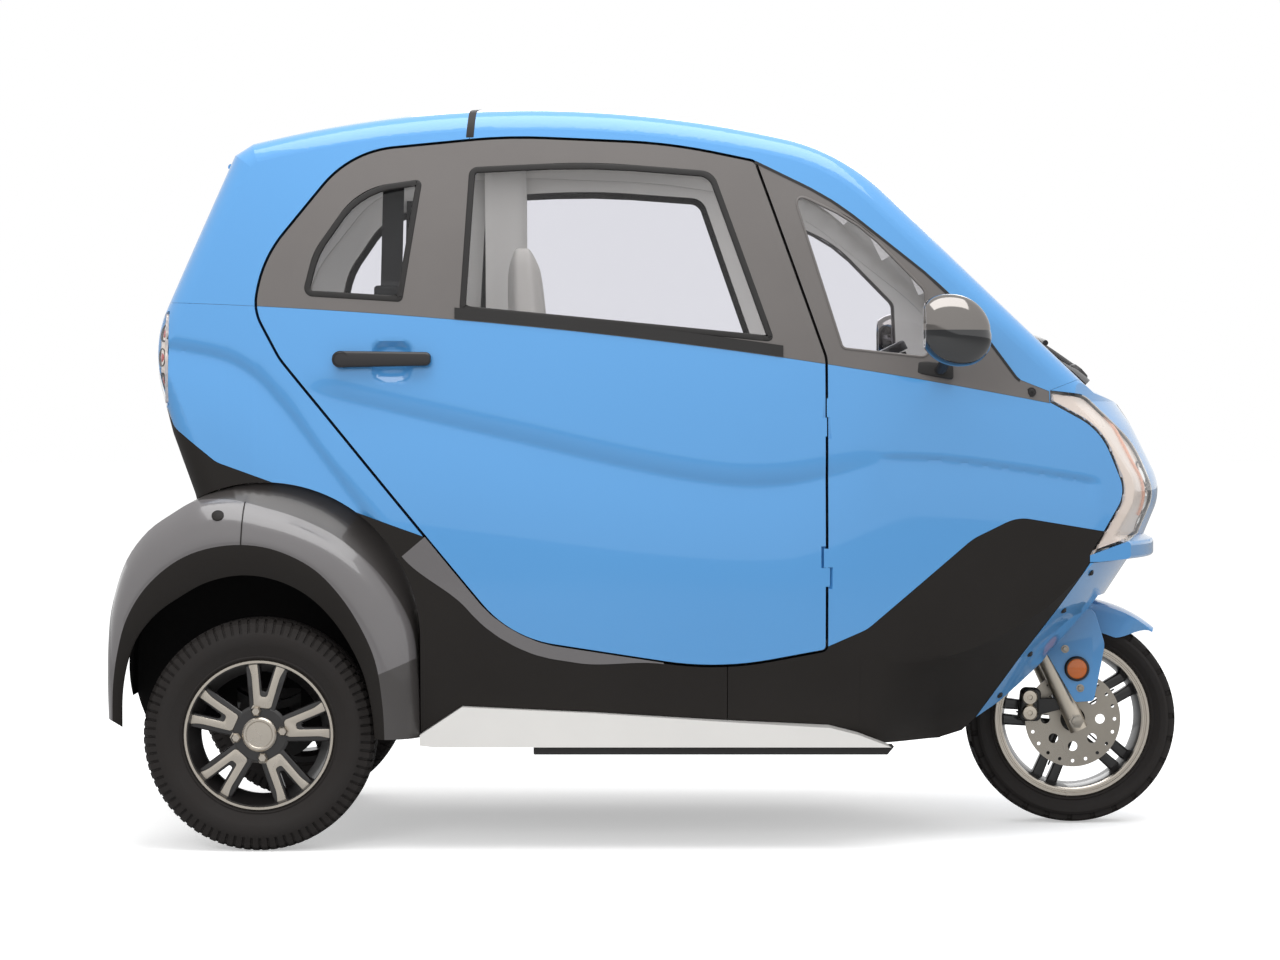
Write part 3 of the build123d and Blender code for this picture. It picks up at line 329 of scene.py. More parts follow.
# Finish of each frame node that keeps its own shape.
NODE_FINISHES: tuple[tuple[Finish, tuple[str, ...]], ...] = (
    (PAINT, ("front_roof", "rear_roof", "nose_panel", "front_shield", "hatch_panel")),
    (FRAME_GREY, ("quarter_frames", "door_right_frame", "door_left_frame")),
    (CLADDING, ("front_cladding", "rear_cladding", "rear_apron")),
    (SKIRT, ("side_sills",)),
    (GLASS, ("quarter_glass", "windscreen", "hatch_glass", "door_right_glass", "door_left_glass")),
    (CLEAR, ("headlamps", "tail_lamps")),
    (DARK, ("dashboard",)),
    (LINER, ("front_wheel_well", "wheel_houses")),
    (CHASSIS, ("floor_pan", "frame_rails", "steering_head", "rear_axle", "rear_springs", "tow_eye",
               "handlebar")),
    (BATTERY, ("battery_pack",)),
    (TRIM, ("seat_bases",)),
    (STEEL, ("front_disc",)),
    (ANODISED, ("fork",)),
)


# The body's skin


@dataclass(frozen=True)
class Arc:
    """Arc through three points, read as a height over its first coordinate."""

    first: Point
    middle: Point
    last: Point

    def at(self, t: float) -> float:
        """Give the arc's height over a place.

        Args:
            t: first coordinate.

        Returns:
            Second coordinate on the arc.
        """
        (x0, y0), (x1, y1), (x2, y2) = self.first, self.middle, self.last
        ax, ay, bx, by = x1 - x0, y1 - y0, x2 - x0, y2 - y0
        det = 2 * (ax * by - ay * bx)
        la, lb = ax * ax + ay * ay, bx * bx + by * by
        cx = x0 + (by * la - ay * lb) / det
        cy = y0 + (ax * lb - bx * la) / det
        rise = math.sqrt(max(math.hypot(x0 - cx, y0 - cy) ** 2 - (t - cx) ** 2, 0.0))
        return cy + rise if y1 > cy else cy - rise


SHOULDER = Arc((100, 490), (640, 535), (1700, 388))
BELT = Arc((-1200, 1172), (-100, 1094), (842, 951))
HALF_WIDTH = 535.0
WIDEST_X = -250.0
PLAN_RADIUS = 4500.0


def flank(x: float, z: float) -> float:
    """Half width of the smooth body skin at a place in side view."""
    far = PLAN_RADIUS - HALF_WIDTH
    return math.sqrt((far + SHOULDER.at(z)) ** 2 - (x - WIDEST_X) ** 2) - far


def ease(t: float) -> float:
    """Smooth step from 0 to 1."""
    t = min(max(t, 0.0), 1.0)
    return t * t * (3 - 2 * t)


@dataclass(frozen=True)
class Crease:
    """Pressed line in the sheet: it slopes in above the line and comes back below it."""

    knots: tuple[Point, ...]
    depth: float
    ramp: float
    fall: float
    fade: float
    front_fade: float

    def line(self, x: float) -> tuple[float, float]:
        """Height and slope of the pressed line at a place.

        Args:
            x: place along the body.

        Returns:
            Height and slope of a smooth curve through the knots.
        """
        knots = self.knots
        i = max(j for j in range(len(knots) - 1) if j == 0 or knots[j][0] <= x)
        (x0, z0), (x1, z1) = knots[i], knots[i + 1]
        before = knots[max(i - 1, 0)]
        after = knots[min(i + 2, len(knots) - 1)]
        m0 = (z1 - before[1]) / (x1 - before[0])
        m1 = (after[1] - z0) / (after[0] - x0)
        step = x1 - x0
        t = (x - x0) / step
        height = ((1 + 2 * t) * (1 - t) ** 2 * z0 + t * (1 - t) ** 2 * step * m0
                  + t * t * (3 - 2 * t) * z1 - t * t * (1 - t) * step * m1)
        return height, (z1 - z0) / step

    def at(self, x: float, z: float) -> float:
        """Depth of the pressed line at a place.

        Args:
            x: place along the body.
            z: height.

        Returns:
            How far the sheet is set in.
        """
        low, high = self.knots[0][0], self.knots[-1][0]
        if not low < x < high:
            return 0.0
        height, slope = self.line(x)
        above = (z - height) / math.hypot(1.0, slope)
        share = 1 - above / self.ramp if above > 0 else 1 + above / self.fall
        ends = ease((x - low) / self.fade) * ease((high - x) / self.front_fade)
        return self.depth * max(share, 0.0) ** 2 * ends


SWAGE = Crease(((-790, 990), (-675, 957), (-300, 868), (-41, 807), (141, 777), (258, 777), (361, 796),
                (472, 826), (560, 850)), depth=12.0, ramp=52.0, fall=230.0, fade=120.0, front_fade=330.0)
WING_LINE = Crease(((440, 836), (605, 828), (743, 811), (881, 790), (960, 776)),
                   depth=6.0, ramp=13.0, fall=120.0, fade=70.0, front_fade=40.0)
QUARTER_LINE = Crease(((-1120, 1080), (-1048, 1068), (-936, 1044), (-868, 1006), (-811, 946), (-764, 888),
                       (-605, 680), (-560, 620)),
                      depth=11.0, ramp=34.0, fall=170.0, fade=60.0, front_fade=60.0)
CREASES = (SWAGE, WING_LINE, QUARTER_LINE)
# Hollow behind the door lever: its middle, radius, depth, and the share of the radius that slopes
SCOOP_X, SCOOP_Z, SCOOP_R, SCOOP_DEPTH, SCOOP_SLOPE = -573.0, 1039.0, 47.0, 15.0, 0.4
# Least depth that a panel is trimmed by, so that none of its first skin is left
PAINT_LAYER = 0.35


def pressed(x: float, z: float) -> float:
    """How far the pressed sheet lies inside the smooth skin.

    Args:
        x: place along the body.
        z: height.

    Returns:
        Depth of the deepest pressed line and of the handle's scoop together.
    """
    away = (((x - SCOOP_X) / SCOOP_R) ** 4 + ((z - SCOOP_Z) / SCOOP_R) ** 4) ** 0.25
    scoop = SCOOP_DEPTH * ease((1.0 - away) / SCOOP_SLOPE)
    return PAINT_LAYER + scoop + max(crease.at(x, z) for crease in CREASES)


# Mesh tools


def outward(bm: BMesh) -> BMesh:
    """Turn the faces of a mesh outwards."""
    bmesh.ops.recalc_face_normals(bm, faces=bm.faces)
    return bm


def distances(points: Sequence[Vector]) -> list[float]:
    """Distance along a line at each of its points."""
    return list(accumulate(((two - one).length for one, two in zip(points, points[1:])), initial=0.0))


def turned(profile: Sequence[Point], steps: int = 48, closed: bool = False) -> BMesh:
    """Spin a profile of (radius, height) about the local Z axis.

    Args:
        profile: points of the section.
        steps: copies round the axis.
        closed: whether the section is a closed loop.

    Returns:
        A new mesh.
    """
    bm = bmesh.new()
    verts = [bm.verts.new((r, 0.0, h)) for r, h in profile]
    ends = list(zip(verts, verts[1:])) + ([(verts[-1], verts[0])] if closed else [])
    edges = [bm.edges.new(pair) for pair in ends]
    bmesh.ops.spin(bm, geom=verts + edges, cent=(0, 0, 0), axis=(0, 0, 1), angle=2 * math.pi, steps=steps,
                   use_merge=True)
    bmesh.ops.remove_doubles(bm, verts=bm.verts, dist=0.005)
    return outward(bm)


def rounded(points: Sequence[Corner]) -> BMesh:
    """Flat face in the local XY plane with rounded corners.

    Args:
        points: corners as (a, b, radius).

    Returns:
        A new mesh with the face.
    """
    bm = bmesh.new()
    verts = [bm.verts.new((a, b, 0.0)) for a, b, _ in points]
    bm.faces.new(verts)
    count = len(points)
    for i, vert in enumerate(verts):
        radius = points[i][2]
        if not radius:
            continue
        here, back, on = [Vector(points[j % count][:2]) for j in (i, i - 1, i + 1)]
        turn = (here - back).angle(on - here)
        bmesh.ops.bevel(bm, geom=[vert], offset=radius * math.tan(turn / 2), offset_type="OFFSET",
                        segments=max(2, round(math.degrees(turn) / CORNER_STEP_DEG)), profile=0.5,
                        affect="VERTICES", material=-1)
    return bm


def oblong(wide: float, high: float, radius: float) -> tuple[Corner, ...]:
    """Corners of a rectangle about the origin, from its half sizes."""
    return (-wide, -high, radius), (wide, -high, radius), (wide, high, radius), (-wide, high, radius)


def shift(bm: BMesh, geom: Sequence, way: Sequence[float]) -> None:
    """Move the vertices among the geometry that an operator gave back."""
    bmesh.ops.translate(bm, vec=way, verts=[g for g in geom if isinstance(g, bmesh.types.BMVert)])


def raised(points: Sequence[Corner], thick: float, edge: float = 0.0,
           inner: float = 0.0) -> BMesh:
    """Plate with rounded corners and softened top edges, standing on the local XY plane.

    Args:
        points: corners as (a, b, radius).
        thick: height of the plate.
        edge: width of the rounding along the top edge.
        inner: width of the rim, if the middle is left open.

    Returns:
        A new closed mesh.
    """
    bm = rounded(points)
    if inner:
        middle = bm.faces[:]
        bmesh.ops.inset_region(bm, faces=middle, thickness=inner, use_boundary=True, use_even_offset=True)
        bmesh.ops.delete(bm, geom=middle, context="FACES_ONLY")
    top = bmesh.ops.extrude_face_region(bm, geom=bm.faces[:])["geom"]
    shift(bm, top, (0, 0, thick))
    outward(bm)
    if edge:
        sharp = [e for e in bm.edges
                 if min(v.co.z for v in e.verts) > thick - 0.01 and e.calc_face_angle(0) > 0.8]
        bmesh.ops.bevel(bm, geom=sharp, offset=edge, segments=3, profile=0.5, affect="EDGES", material=-1)
    return bm


def divided(bm: BMesh, longest: float) -> BMesh:
    """Split edges until none is longer than asked.

    Args:
        bm: mesh to change.
        longest: longest edge that may stay.

    Returns:
        The same mesh.
    """
    for _ in range(6):
        edges = [e for e in bm.edges if e.calc_length() > longest]
        if not edges:
            break
        bmesh.ops.subdivide_edges(bm, edges=edges, cuts=1, use_grid_fill=True)
    return bm


def sheet(across: int, along: int, put: Callable[[float, float], Vector],
          finish: Callable[[float, float], int] | None = None) -> BMesh:
    """Open sheet shaped by a function over a unit square.

    Args:
        across: divisions along u.
        along: divisions along v.
        put: gives the place of (u, v).
        finish: gives the number of the finish of the face whose middle is (u, v).

    Returns:
        A new open mesh.
    """
    bm = bmesh.new()
    bmesh.ops.create_grid(bm, x_segments=across, y_segments=along, size=0.5)
    if finish is not None:
        for face in bm.faces:
            middle = face.calc_center_median()
            face.material_index = finish(middle.x + 0.5, middle.y + 0.5)
    for vert in bm.verts:
        vert.co = put(vert.co.x + 0.5, vert.co.y + 0.5)
    return bm


def patch(across: int, along: int, put: Callable[[float, float], Vector],
          wall: Sequence[float]) -> BMesh:
    """Sheet shaped by a function over a unit square, with a thickness.

    Args:
        across: divisions along u.
        along: divisions along v.
        put: gives the outer place of (u, v).
        wall: way from the outer to the inner face.

    Returns:
        A new closed mesh.
    """
    bm = sheet(across, along, put)
    inner = bmesh.ops.extrude_face_region(bm, geom=bm.faces[:], use_keep_orig=True)["geom"]
    shift(bm, inner, wall)
    return outward(bm)


def rod(path: Sequence[Vector], radius: float, sides: int = 14) -> BMesh:
    """Round bar along a path with flat ends.

    Args:
        path: points of the centre line.
        radius: radius of the bar.
        sides: faces round the bar.

    Returns:
        A new closed mesh.
    """
    bm = bmesh.new()
    rings = []
    last = len(path) - 1
    for i, here in enumerate(path):
        run = (path[min(i + 1, last)] - path[max(i - 1, 0)]).normalized()
        spot = Matrix.Translation(here) @ run.to_track_quat("Z", "Y").to_matrix().to_4x4()
        ring = bmesh.ops.create_circle(bm, cap_ends=i in (0, last), segments=sides, radius=radius,
                                       matrix=spot)
        rings.append({e for v in ring["verts"] for e in v.link_edges})
    for one, two in zip(rings, rings[1:]):
        bmesh.ops.bridge_loops(bm, edges=list(one | two))
    return outward(bm)


def placed(bm: BMesh, origin: Sequence[float], right: Sequence[float],
           out: Sequence[float]) -> BMesh:
    """Move a mesh from its local axes to a place on the body.

    Args:
        bm: mesh to move.
        origin: place of the local origin.
        right: direction of the local X axis.
        out: direction of the local Z axis.

    Returns:
        The same mesh.
    """
    z = Vector(out).normalized()
    x = (Vector(right) - z * Vector(right).dot(z)).normalized()
    turn = Matrix((x, z.cross(x), z)).transposed().to_4x4()
    bmesh.ops.transform(bm, matrix=Matrix.Translation(Vector(origin)) @ turn, verts=bm.verts)
    return bm


def on_right(bm: BMesh, origin: Sequence[float]) -> BMesh:
    """Move a mesh so that it faces right, with its local X axis to the front."""
    return placed(bm, origin, (1, 0, 0), (0, -1, 0))


def gather(target: BMesh, part: BMesh, finish: int = 0) -> None:
    """Join a part into a larger mesh and free it.

    Args:
        target: mesh that gets the part.
        part: mesh to join.
        finish: number of the finish for its faces; below zero keeps what they have.
    """
    if finish >= 0:
        for face in part.faces:
            face.material_index = finish
    joined = bpy.data.meshes.new("joined")
    part.to_mesh(joined)
    part.free()
    target.from_mesh(joined)
    bpy.data.meshes.remove(joined)


def mirrored(bm: BMesh) -> BMesh:
    """Turn a right-hand mesh into the left-hand one.

    Args:
        bm: mesh to change.

    Returns:
        The same mesh.
    """
    bmesh.ops.scale(bm, vec=(1, -1, 1), verts=bm.verts)
    bmesh.ops.reverse_faces(bm, faces=bm.faces)
    return bm


def doubled(bm: BMesh) -> BMesh:
    """Add the left-hand mirror image to a right-hand mesh."""
    gather(bm, mirrored(bm.copy()), -1)
    return bm


def linked(name: str, data: bpy.types.ID) -> bpy.types.Object:
    """Make an object and link it to the scene.

    Args:
        name: object name.
        data: its mesh, lamp or camera.

    Returns:
        The new object.
    """
    obj = bpy.data.objects.new(name, data)
    bpy.context.scene.collection.objects.link(obj)
    return obj


def in_metres(name: str, bm: BMesh) -> bpy.types.Mesh:
    """Turn a mesh in millimetres into one in metres.

    Args:
        name: name of the new mesh.
        bm: mesh in millimetres, which is freed.

    Returns:
        A new mesh in metres.
    """
    bmesh.ops.scale(bm, vec=(MM, MM, MM), verts=bm.verts)
    mesh = bpy.data.meshes.new(name)
    bm.to_mesh(mesh)
    bm.free()
    return mesh


def evaluated(obj: bpy.types.Object) -> bpy.types.Mesh:
    """Mesh of an object with its modifiers applied."""
    return bpy.data.meshes.new_from_object(obj.evaluated_get(bpy.context.evaluated_depsgraph_get()))


@dataclass
class Workshop:
    """Keeps the frame and the finishes, and turns meshes into pieces that ride on it."""

    frame: dict
    ready: dict[str, bpy.types.Material]
    count: int = 0

    def material(self, finish: Finish) -> bpy.types.Material:
        """Material of a finish, built once.

        Args:
            finish: the finish.

        Returns:
            Its material.
        """
        if finish.name not in self.ready:
            self.ready[finish.name] = finish.material()
        return self.ready[finish.name]

    def piece(self, name: str, shape: BMesh | bpy.types.Mesh, body: str, slot: str,
              finishes: Sequence[Finish], replaces: Sequence[str] = (),
              crease_deg: float = 35.0) -> bpy.types.Object:
        """Finish a shape as a piece of the object.

        Args:
            name: piece name.
            shape: mesh in metres, or one in millimetres, which is freed.
            body: frame body that it rides on.
            slot: material slot of the record; not used.
            finishes: finishes by face number.
            replaces: frame nodes that it stands for.
            crease_deg: edges sharper than this stay sharp.

        Returns:
            The new object.
        """
        mesh = in_metres(name, shape) if isinstance(shape, BMesh) else shape
        # On an empty list too, clear() would set every face to the first finish
        if mesh.materials:
            mesh.materials.clear()
        for finish in finishes:
            mesh.materials.append(self.material(finish))
        mesh.shade_smooth()
        mesh.set_sharp_from_angle(angle=math.radians(crease_deg))
        obj = linked(name, mesh)
        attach(obj, body)
        if replaces:
            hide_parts(*replaces)
        self.count += 1
        LOG.info("%s rides on %s, %d faces", name, body, len(mesh.polygons))
        return obj

    def copy_of(self, node: str) -> BMesh:
        """Closed copy of a frame node's mesh, in millimetres.

        Args:
            node: frame node.

        Returns:
            A new mesh with its doubles merged.
        """
        bm = bmesh.new()
        bm.from_mesh(self.frame["nodes"][node].data)
        bmesh.ops.remove_doubles(bm, verts=bm.verts, dist=1e-6)
        bmesh.ops.scale(bm, vec=(1 / MM,) * 3, verts=bm.verts)
        return bm

    def surface(self, *nodes: str) -> BVHTree:
        """Ray target made of frame nodes, in millimetres.

        Args:
            nodes: frame nodes to join.

        Returns:
            The search tree.
        """
        bm = bmesh.new()
        for node in nodes:
            gather(bm, self.copy_of(node), -1)
        tree = BVHTree.FromBMesh(bm)
        bm.free()
        return tree

    def dress(self) -> None:
        """Give each frame node that keeps its shape its finish."""
        for finish, names in NODE_FINISHES:
            for name in names:
                for slot in self.frame["nodes"][name].material_slots:
                    slot.material = self.material(finish)


# Sub-assemblies


@dataclass
class PressedPanels:
    """Painted flank panels with their pressed lines, and the grey linings inside the cabin."""

    shop: Workshop
    pitch: float = 6.0
    reach: float = 120.0
    lining: float = 2.0
    skin: float = 38.0
    inward: float = 0.3
    crease_deg: float = 32.0
    cabin: tuple[float, float, float] = (0.0, 0.0, 0.95)
    # node, x from, x to, z from, z to, sides
    table = (
        ("door_right_panel", -880, 362, 370, 1185, (RIGHT,)),
        ("door_left_panel", -880, 362, 370, 1185, (LEFT,)),
        ("front_wings", 340, 1030, 420, 1075, (RIGHT, LEFT)),
        ("rear_quarters", -1120, -420, 630, 1190, (RIGHT, LEFT)),
    )
    lined = ("front_roof", "rear_roof", "door_right_panel", "door_left_panel", "rear_quarters", "front_wings",
             "nose_panel", "rear_cladding", "front_cladding", "quarter_frames", "door_right_frame",
             "door_left_frame")

    def body(self, node: str) -> str:
        """Body that a node of the shell rides on: its door, or the chassis."""
        return node.rsplit("_", 1)[0] if node.startswith("door_") else "chassis"

    def cutter(self, x0: float, x1: float, z0: float, z1: float, side: int) -> bpy.types.Object:
        """Solid outside the pressed skin, which trims a panel to it.

        Args:
            x0: rear limit.
            x1: front limit.
            z0: lower limit.
            z1: upper limit.
            side: RIGHT or LEFT.

        Returns:
            A helper object in metres.
        """
        def put(u: float, v: float) -> Vector:
            """Place of (u, v) on the pressed skin."""
            x, z = x0 + u * (x1 - x0), z0 + v * (z1 - z0)
            return Vector((x, -(flank(x, z) - pressed(x, z)), z))

        across, along = round((x1 - x0) / self.pitch), round((z1 - z0) / self.pitch)
        bm = patch(across, along, put, (0, -self.reach, 0))
        return linked("cutter", in_metres("cutter", mirrored(bm) if side == LEFT else bm))

    def trimmed(self, node: str, cutters: Sequence[bpy.types.Object]) -> bpy.types.Mesh:
        """Copy of a node with the cutters taken off.

        Args:
            node: frame node.
            cutters: helper objects, which are removed.

        Returns:
            A new mesh in metres.
        """
        raw = linked("raw", in_metres(node, self.shop.copy_of(node)))
        normals = raw.data.attributes.get("custom_normal")
        if normals is not None:
            raw.data.attributes.remove(normals)
        for cutter in cutters:
            cut = raw.modifiers.new("trim", "BOOLEAN")
            cut.operation = "DIFFERENCE"
            cut.solver = "EXACT"
            cut.object = cutter
        made = evaluated(raw)
        for spent in (raw, *cutters):
            bpy.data.objects.remove(spent)
        return made

    def line(self, node: str) -> None:
        """Add the grey lining on the inner faces of a node.

        Args:
            node: frame node.
        """
        bm = self.shop.copy_of(node)
        centre = Vector(self.cabin) / MM
        outer = []
        for face in bm.faces:
            spot = face.calc_center_median()
            shown = face.normal.dot((spot - centre).normalized()) < -self.inward
            if not shown or flank(spot.x, spot.z) - abs(spot.y) < self.skin:
                outer.append(face)
        bmesh.ops.delete(bm, geom=outer, context="FACES")
        bmesh.ops.solidify(bm, geom=bm.faces[:], thickness=-self.lining)
        outward(bm)
        self.shop.piece(f"{node}_lining", bm, self.body(node), "trim", [TRIM])

    def build(self) -> None:
        """Press the four panel nodes and line the cabin."""
        for node, *limits, sides in self.table:
            mesh = self.trimmed(node, [self.cutter(*limits, side) for side in sides])
            self.shop.piece(f"{node}_pressed", mesh, self.body(node), "paint", [PAINT], [node],
                            self.crease_deg)
        for node in self.lined:
            self.line(node)


# Side-view outlines of the door, the windows and the front window's frame: x, z, corner radius
DOOR = ((353, 424, 12), (353, 1047, 60), (203, 1472, 18), (20, 1509, 1200), (-330, 1524, 1200),
        (-668, 1492, 220), (-853, 1262, 260), (-872, 1150, 100), (-815, 1046, 150), (-322, 452, 250),
        (120, 383, 700))
MAIN_WINDOW = ((-430, 1146, 12), (-411, 1457, 20), (-150, 1469, 1500), (112, 1449, 40), (243, 1081, 12))
REAR_WINDOW = ((-768, 1180, 20), (-745, 1275, 150), (-650, 1412, 150), (-511, 1432, 12), (-552, 1166, 12))
FRONT_WINDOW = ((278, 1412, 20), (430, 1340, 300), (572, 1195, 30), (580, 1046, 20), (386, 1066, 15))
FRAME_TOP = ((203, 1472, 0), (370, 1391, 500), (640, 1178, 700), (772, 1003, 15), (838, 978, 0),
             (203, 978, 0))


@dataclass
class SideTrim:
    """Window seals, belt bands, door levers, cladding sheets, sill strips and the screws of the flank."""

    shop: Workshop
    seal: float = 13.0
    slim_seal: float = 5.0
    seal_edge: float = 2.5
    glass_depth: float = 14.0
    wall: float = 45.0
    # Lip round the door opening
    door_middle: Point = (-260.0, 950.0)
    lip_outside: Point = (20.0, 18.0)
    lip_width: float = 42.0
    lip_thick: float = 4.0
    lip_behind: float = 8.0
    # Sheet from the flank to the tucked front of the sill: start, where it leaves the flank, end
    corner_x: Corner = (425.0, 452.0, 610.0)
    corner_low: float = 223.0
    corner_rise: float = 187.0
    # Band along the door's lower rear edge: width, what it has more at its upper end, where it begins
    band_width: float = 28.0
    band_more: float = 36.0
    band_start: Point = (-501.0, 668.0)
    band_end_x: float = 60.0
    seam_width: float = 6.0
    # Strip along the belt: rear end, length, width
    belt_x: float = -440.0
    belt_length: float = 700.0
    belt_width: float = 24.0
    # Door lever: height of its middle, places of its pivot and its lock
    lever_z: float = 1044.0
    pivot_x: float = -681.0
    lock_x: float = -505.0
    lever_proud: float = 9.0
    sill_y: float = -476.0
    mirror_screw: Point = (800.0, 975.0)
    # Screws down the edge of the front shield: lowest one, way to the highest, shares of the way
    shield_foot: Point = (734.0, 292.0)
    shield_rise: Point = (212.0, 306.0)
    shield_screws = (0.06, 0.36, 0.68, 0.95)

    def on_flank(self, bm: BMesh, proud: float) -> BMesh:
        """Wrap a flat mesh, drawn as (x, z, height), on the right flank.

        Args:
            bm: mesh in the local XY plane.
            proud: how far its base stands off the skin.

        Returns:
            The same mesh.
        """
        for vert in bm.verts:
            x, z, out = vert.co
            vert.co = (x, -(flank(x, z) + proud + out), z)
        return outward(bm)

    def window_seal(self, outline: Sequence[Corner], width: float) -> BMesh:
        """Rubber seal that sits in a window's edge."""
        rim = raised(outline, self.glass_depth + 1.5, min(self.seal_edge, width / 3), width)
        return self.on_flank(divided(rim, 45), -self.glass_depth)

    def aperture_seal(self) -> BMesh:
        """Rubber lip round the door opening, just inside the wall, which closes the gap behind the door.

        Returns:
            A new closed mesh of the right side, with rubber as finish 0 and trim as finish 1.
        """
        (mid_x, mid_z), (more_x, more_z) = self.door_middle, self.lip_outside
        grown = [(x + math.copysign(more_x, x - mid_x), z + math.copysign(more_z, z - mid_z), radius)
                 for x, z, radius in DOOR]
        rim = raised(grown, self.lip_thick, 0, self.lip_width)
        bm = self.on_flank(divided(rim, 60), -self.wall - self.lip_behind)
        for face in bm.faces:
            face.material_index = 1 if face.normal.y > 0.5 else 0
        return bm

    def corner(self) -> BMesh:
        """Cladding sheet that leads from the flank round to the tucked front of the sill.

        Returns:
            A new closed mesh of the right side.
        """
        front = self.shop.surface("front_cladding")
        start, step, end = self.corner_x

        def put(u: float, v: float) -> Vector:
            """Place of (u, v), u to the front and v up."""
            x, z = start + u * (end - start), self.corner_low + v * self.corner_rise
            wide = flank(x, z)
            hit = front.ray_cast(Vector((x, BESIDE, max(z, 262 - u * 30))), Vector((0, 1, 0)))[0]
            tucked = -hit.y if hit is not None and x > step else wide
            share = 1 - ease((x - step) / (end - step))
            return Vector((x, -(tucked + (wide - tucked) * share) - 0.4, z))
        return patch(40, 30, put, (0, 6, 0))

    def edging(self, edge: Sequence[Vector], wide: Callable[[float], float], start: float,
               proud: float) -> BMesh:
        """Band on the flank below a line that runs to the front.

        Args:
            edge: points of the line in side view, from the rear to the front.
            wide: width of the band at a share of the line.
            start: distance of the band from the line.
            proud: how far it stands off the skin.

        Returns:
            A new closed mesh on the right side.
        """
        runs = distances(edge)

        def put(u: float, v: float) -> Vector:
            """Place of (u, v), u along the line and v away from it."""
            goal = u * runs[-1]
            k = max(i for i in range(len(edge) - 1) if runs[i] <= goal)
            spot = edge[k].lerp(edge[k + 1], (goal - runs[k]) / (runs[k + 1] - runs[k]))
            way = edge[min(k + 2, len(edge) - 1)] - edge[max(k - 1, 0)]
            spot = spot + Vector((way.y, -way.x)).normalized() * (start + v * wide(u))
            return Vector((spot.x, -(flank(spot.x, spot.y) + proud), spot.y))
        return patch(70, 6, put, (0, 5, 0))

    def edge_band(self) -> BMesh:
        """Polished band of the cladding along the lower rear edge of the door.

        Returns:
            A new closed mesh of the right side.
        """
        outline = rounded(DOOR)
        first_x, first_z = self.band_start
        found = [v.co.xy for v in outline.verts
                 if first_x + 6 < v.co.x < self.band_end_x and v.co.y < first_z]
        outline.free()

        def wide(u: float) -> float:
            """Width of the band, which is widest at its upper end and runs out at its front."""
            full = self.band_width + self.band_more * (1 - ease(u / 0.3))
            return full * (1 - 0.9 * ease((u - 0.7) / 0.3))

        edge = [Vector(self.band_start)] + sorted(found, key=lambda spot: spot.x)
        return self.edging(edge, wide, 1.0, 0.8)

    def frame_seam(self) -> BMesh:
        """Black joint between the roof's pillar and the frame of the front window.

        Returns:
            A new closed mesh of the right side.
        """
        outline = rounded(FRAME_TOP)
        first, low = Vector(FRAME_TOP[0][:2]), FRAME_TOP[-1][1] + 2
        found = [v.co.xy for v in outline.verts if v.co.x > first.x + 5 and v.co.y > low]
        outline.free()
        edge = [first] + sorted(found, key=lambda spot: spot.x)
        return self.edging(edge, lambda u: self.seam_width, -1.0, 0.6)

    def belt_band(self) -> BMesh:
        """Dark weather strip along the belt under the door's main window.

        Returns:
            A new closed mesh of the right side.
        """
        def put(u: float, v: float) -> Vector:
            """Place of (u, v), u to the front and v up."""
            x = self.belt_x + u * self.belt_length
            z = BELT.at(x) + 2 + v * self.belt_width
            return Vector((x, -(flank(x, z) + 2.0), z))
        return patch(60, 2, put, (0, 6, 0))

    def handle(self) -> BMesh:
        """Door lever with its pivot, its end seam and its lock.

        Returns:
            A new mesh of the right side.
        """
        lever = raised(((-700, 1026, 17), (-700, 1062, 17), (-489, 1059, 11), (-489, 1030, 11)), 15, 6)
        bm = self.on_flank(divided(lever, 60), self.lever_proud)
        for x, radius in ((self.pivot_x, 13), (self.lock_x, 9)):
            post = turned(((0, -2), (radius, -2), (radius, 14), (0, 14)), 24)
            gather(bm, on_right(post, (x, -flank(x, self.lever_z), self.lever_z)))
        seam = turned(((15.5, 0), (17.5, 0), (17.5, 1.2), (15.5, 1.2)), 32, True)
        face = flank(self.pivot_x, self.lever_z) + 23.6
        gather(bm, on_right(seam, (self.pivot_x, -face, self.lever_z)))
        return bm

    def screw(self, spot: Sequence[float], out: Sequence[float], radius: float = 7.0) -> BMesh:
        """Round-headed screw with a washer and a hollow in its head.

        Args:
            spot: place of its foot.
            out: direction that its head faces.
            radius: radius of its head.

        Returns:
            A new mesh.
        """
        bm = turned(((radius * 1.5, 0), (radius * 1.5, 1.4), (radius, 1.4), (radius * 0.85, 4.4),
                     (radius * 0.45, 5.0), (radius * 0.45, 2.4), (0, 2.4)), 18)
        return placed(bm, spot, (1, 0, 0), out)

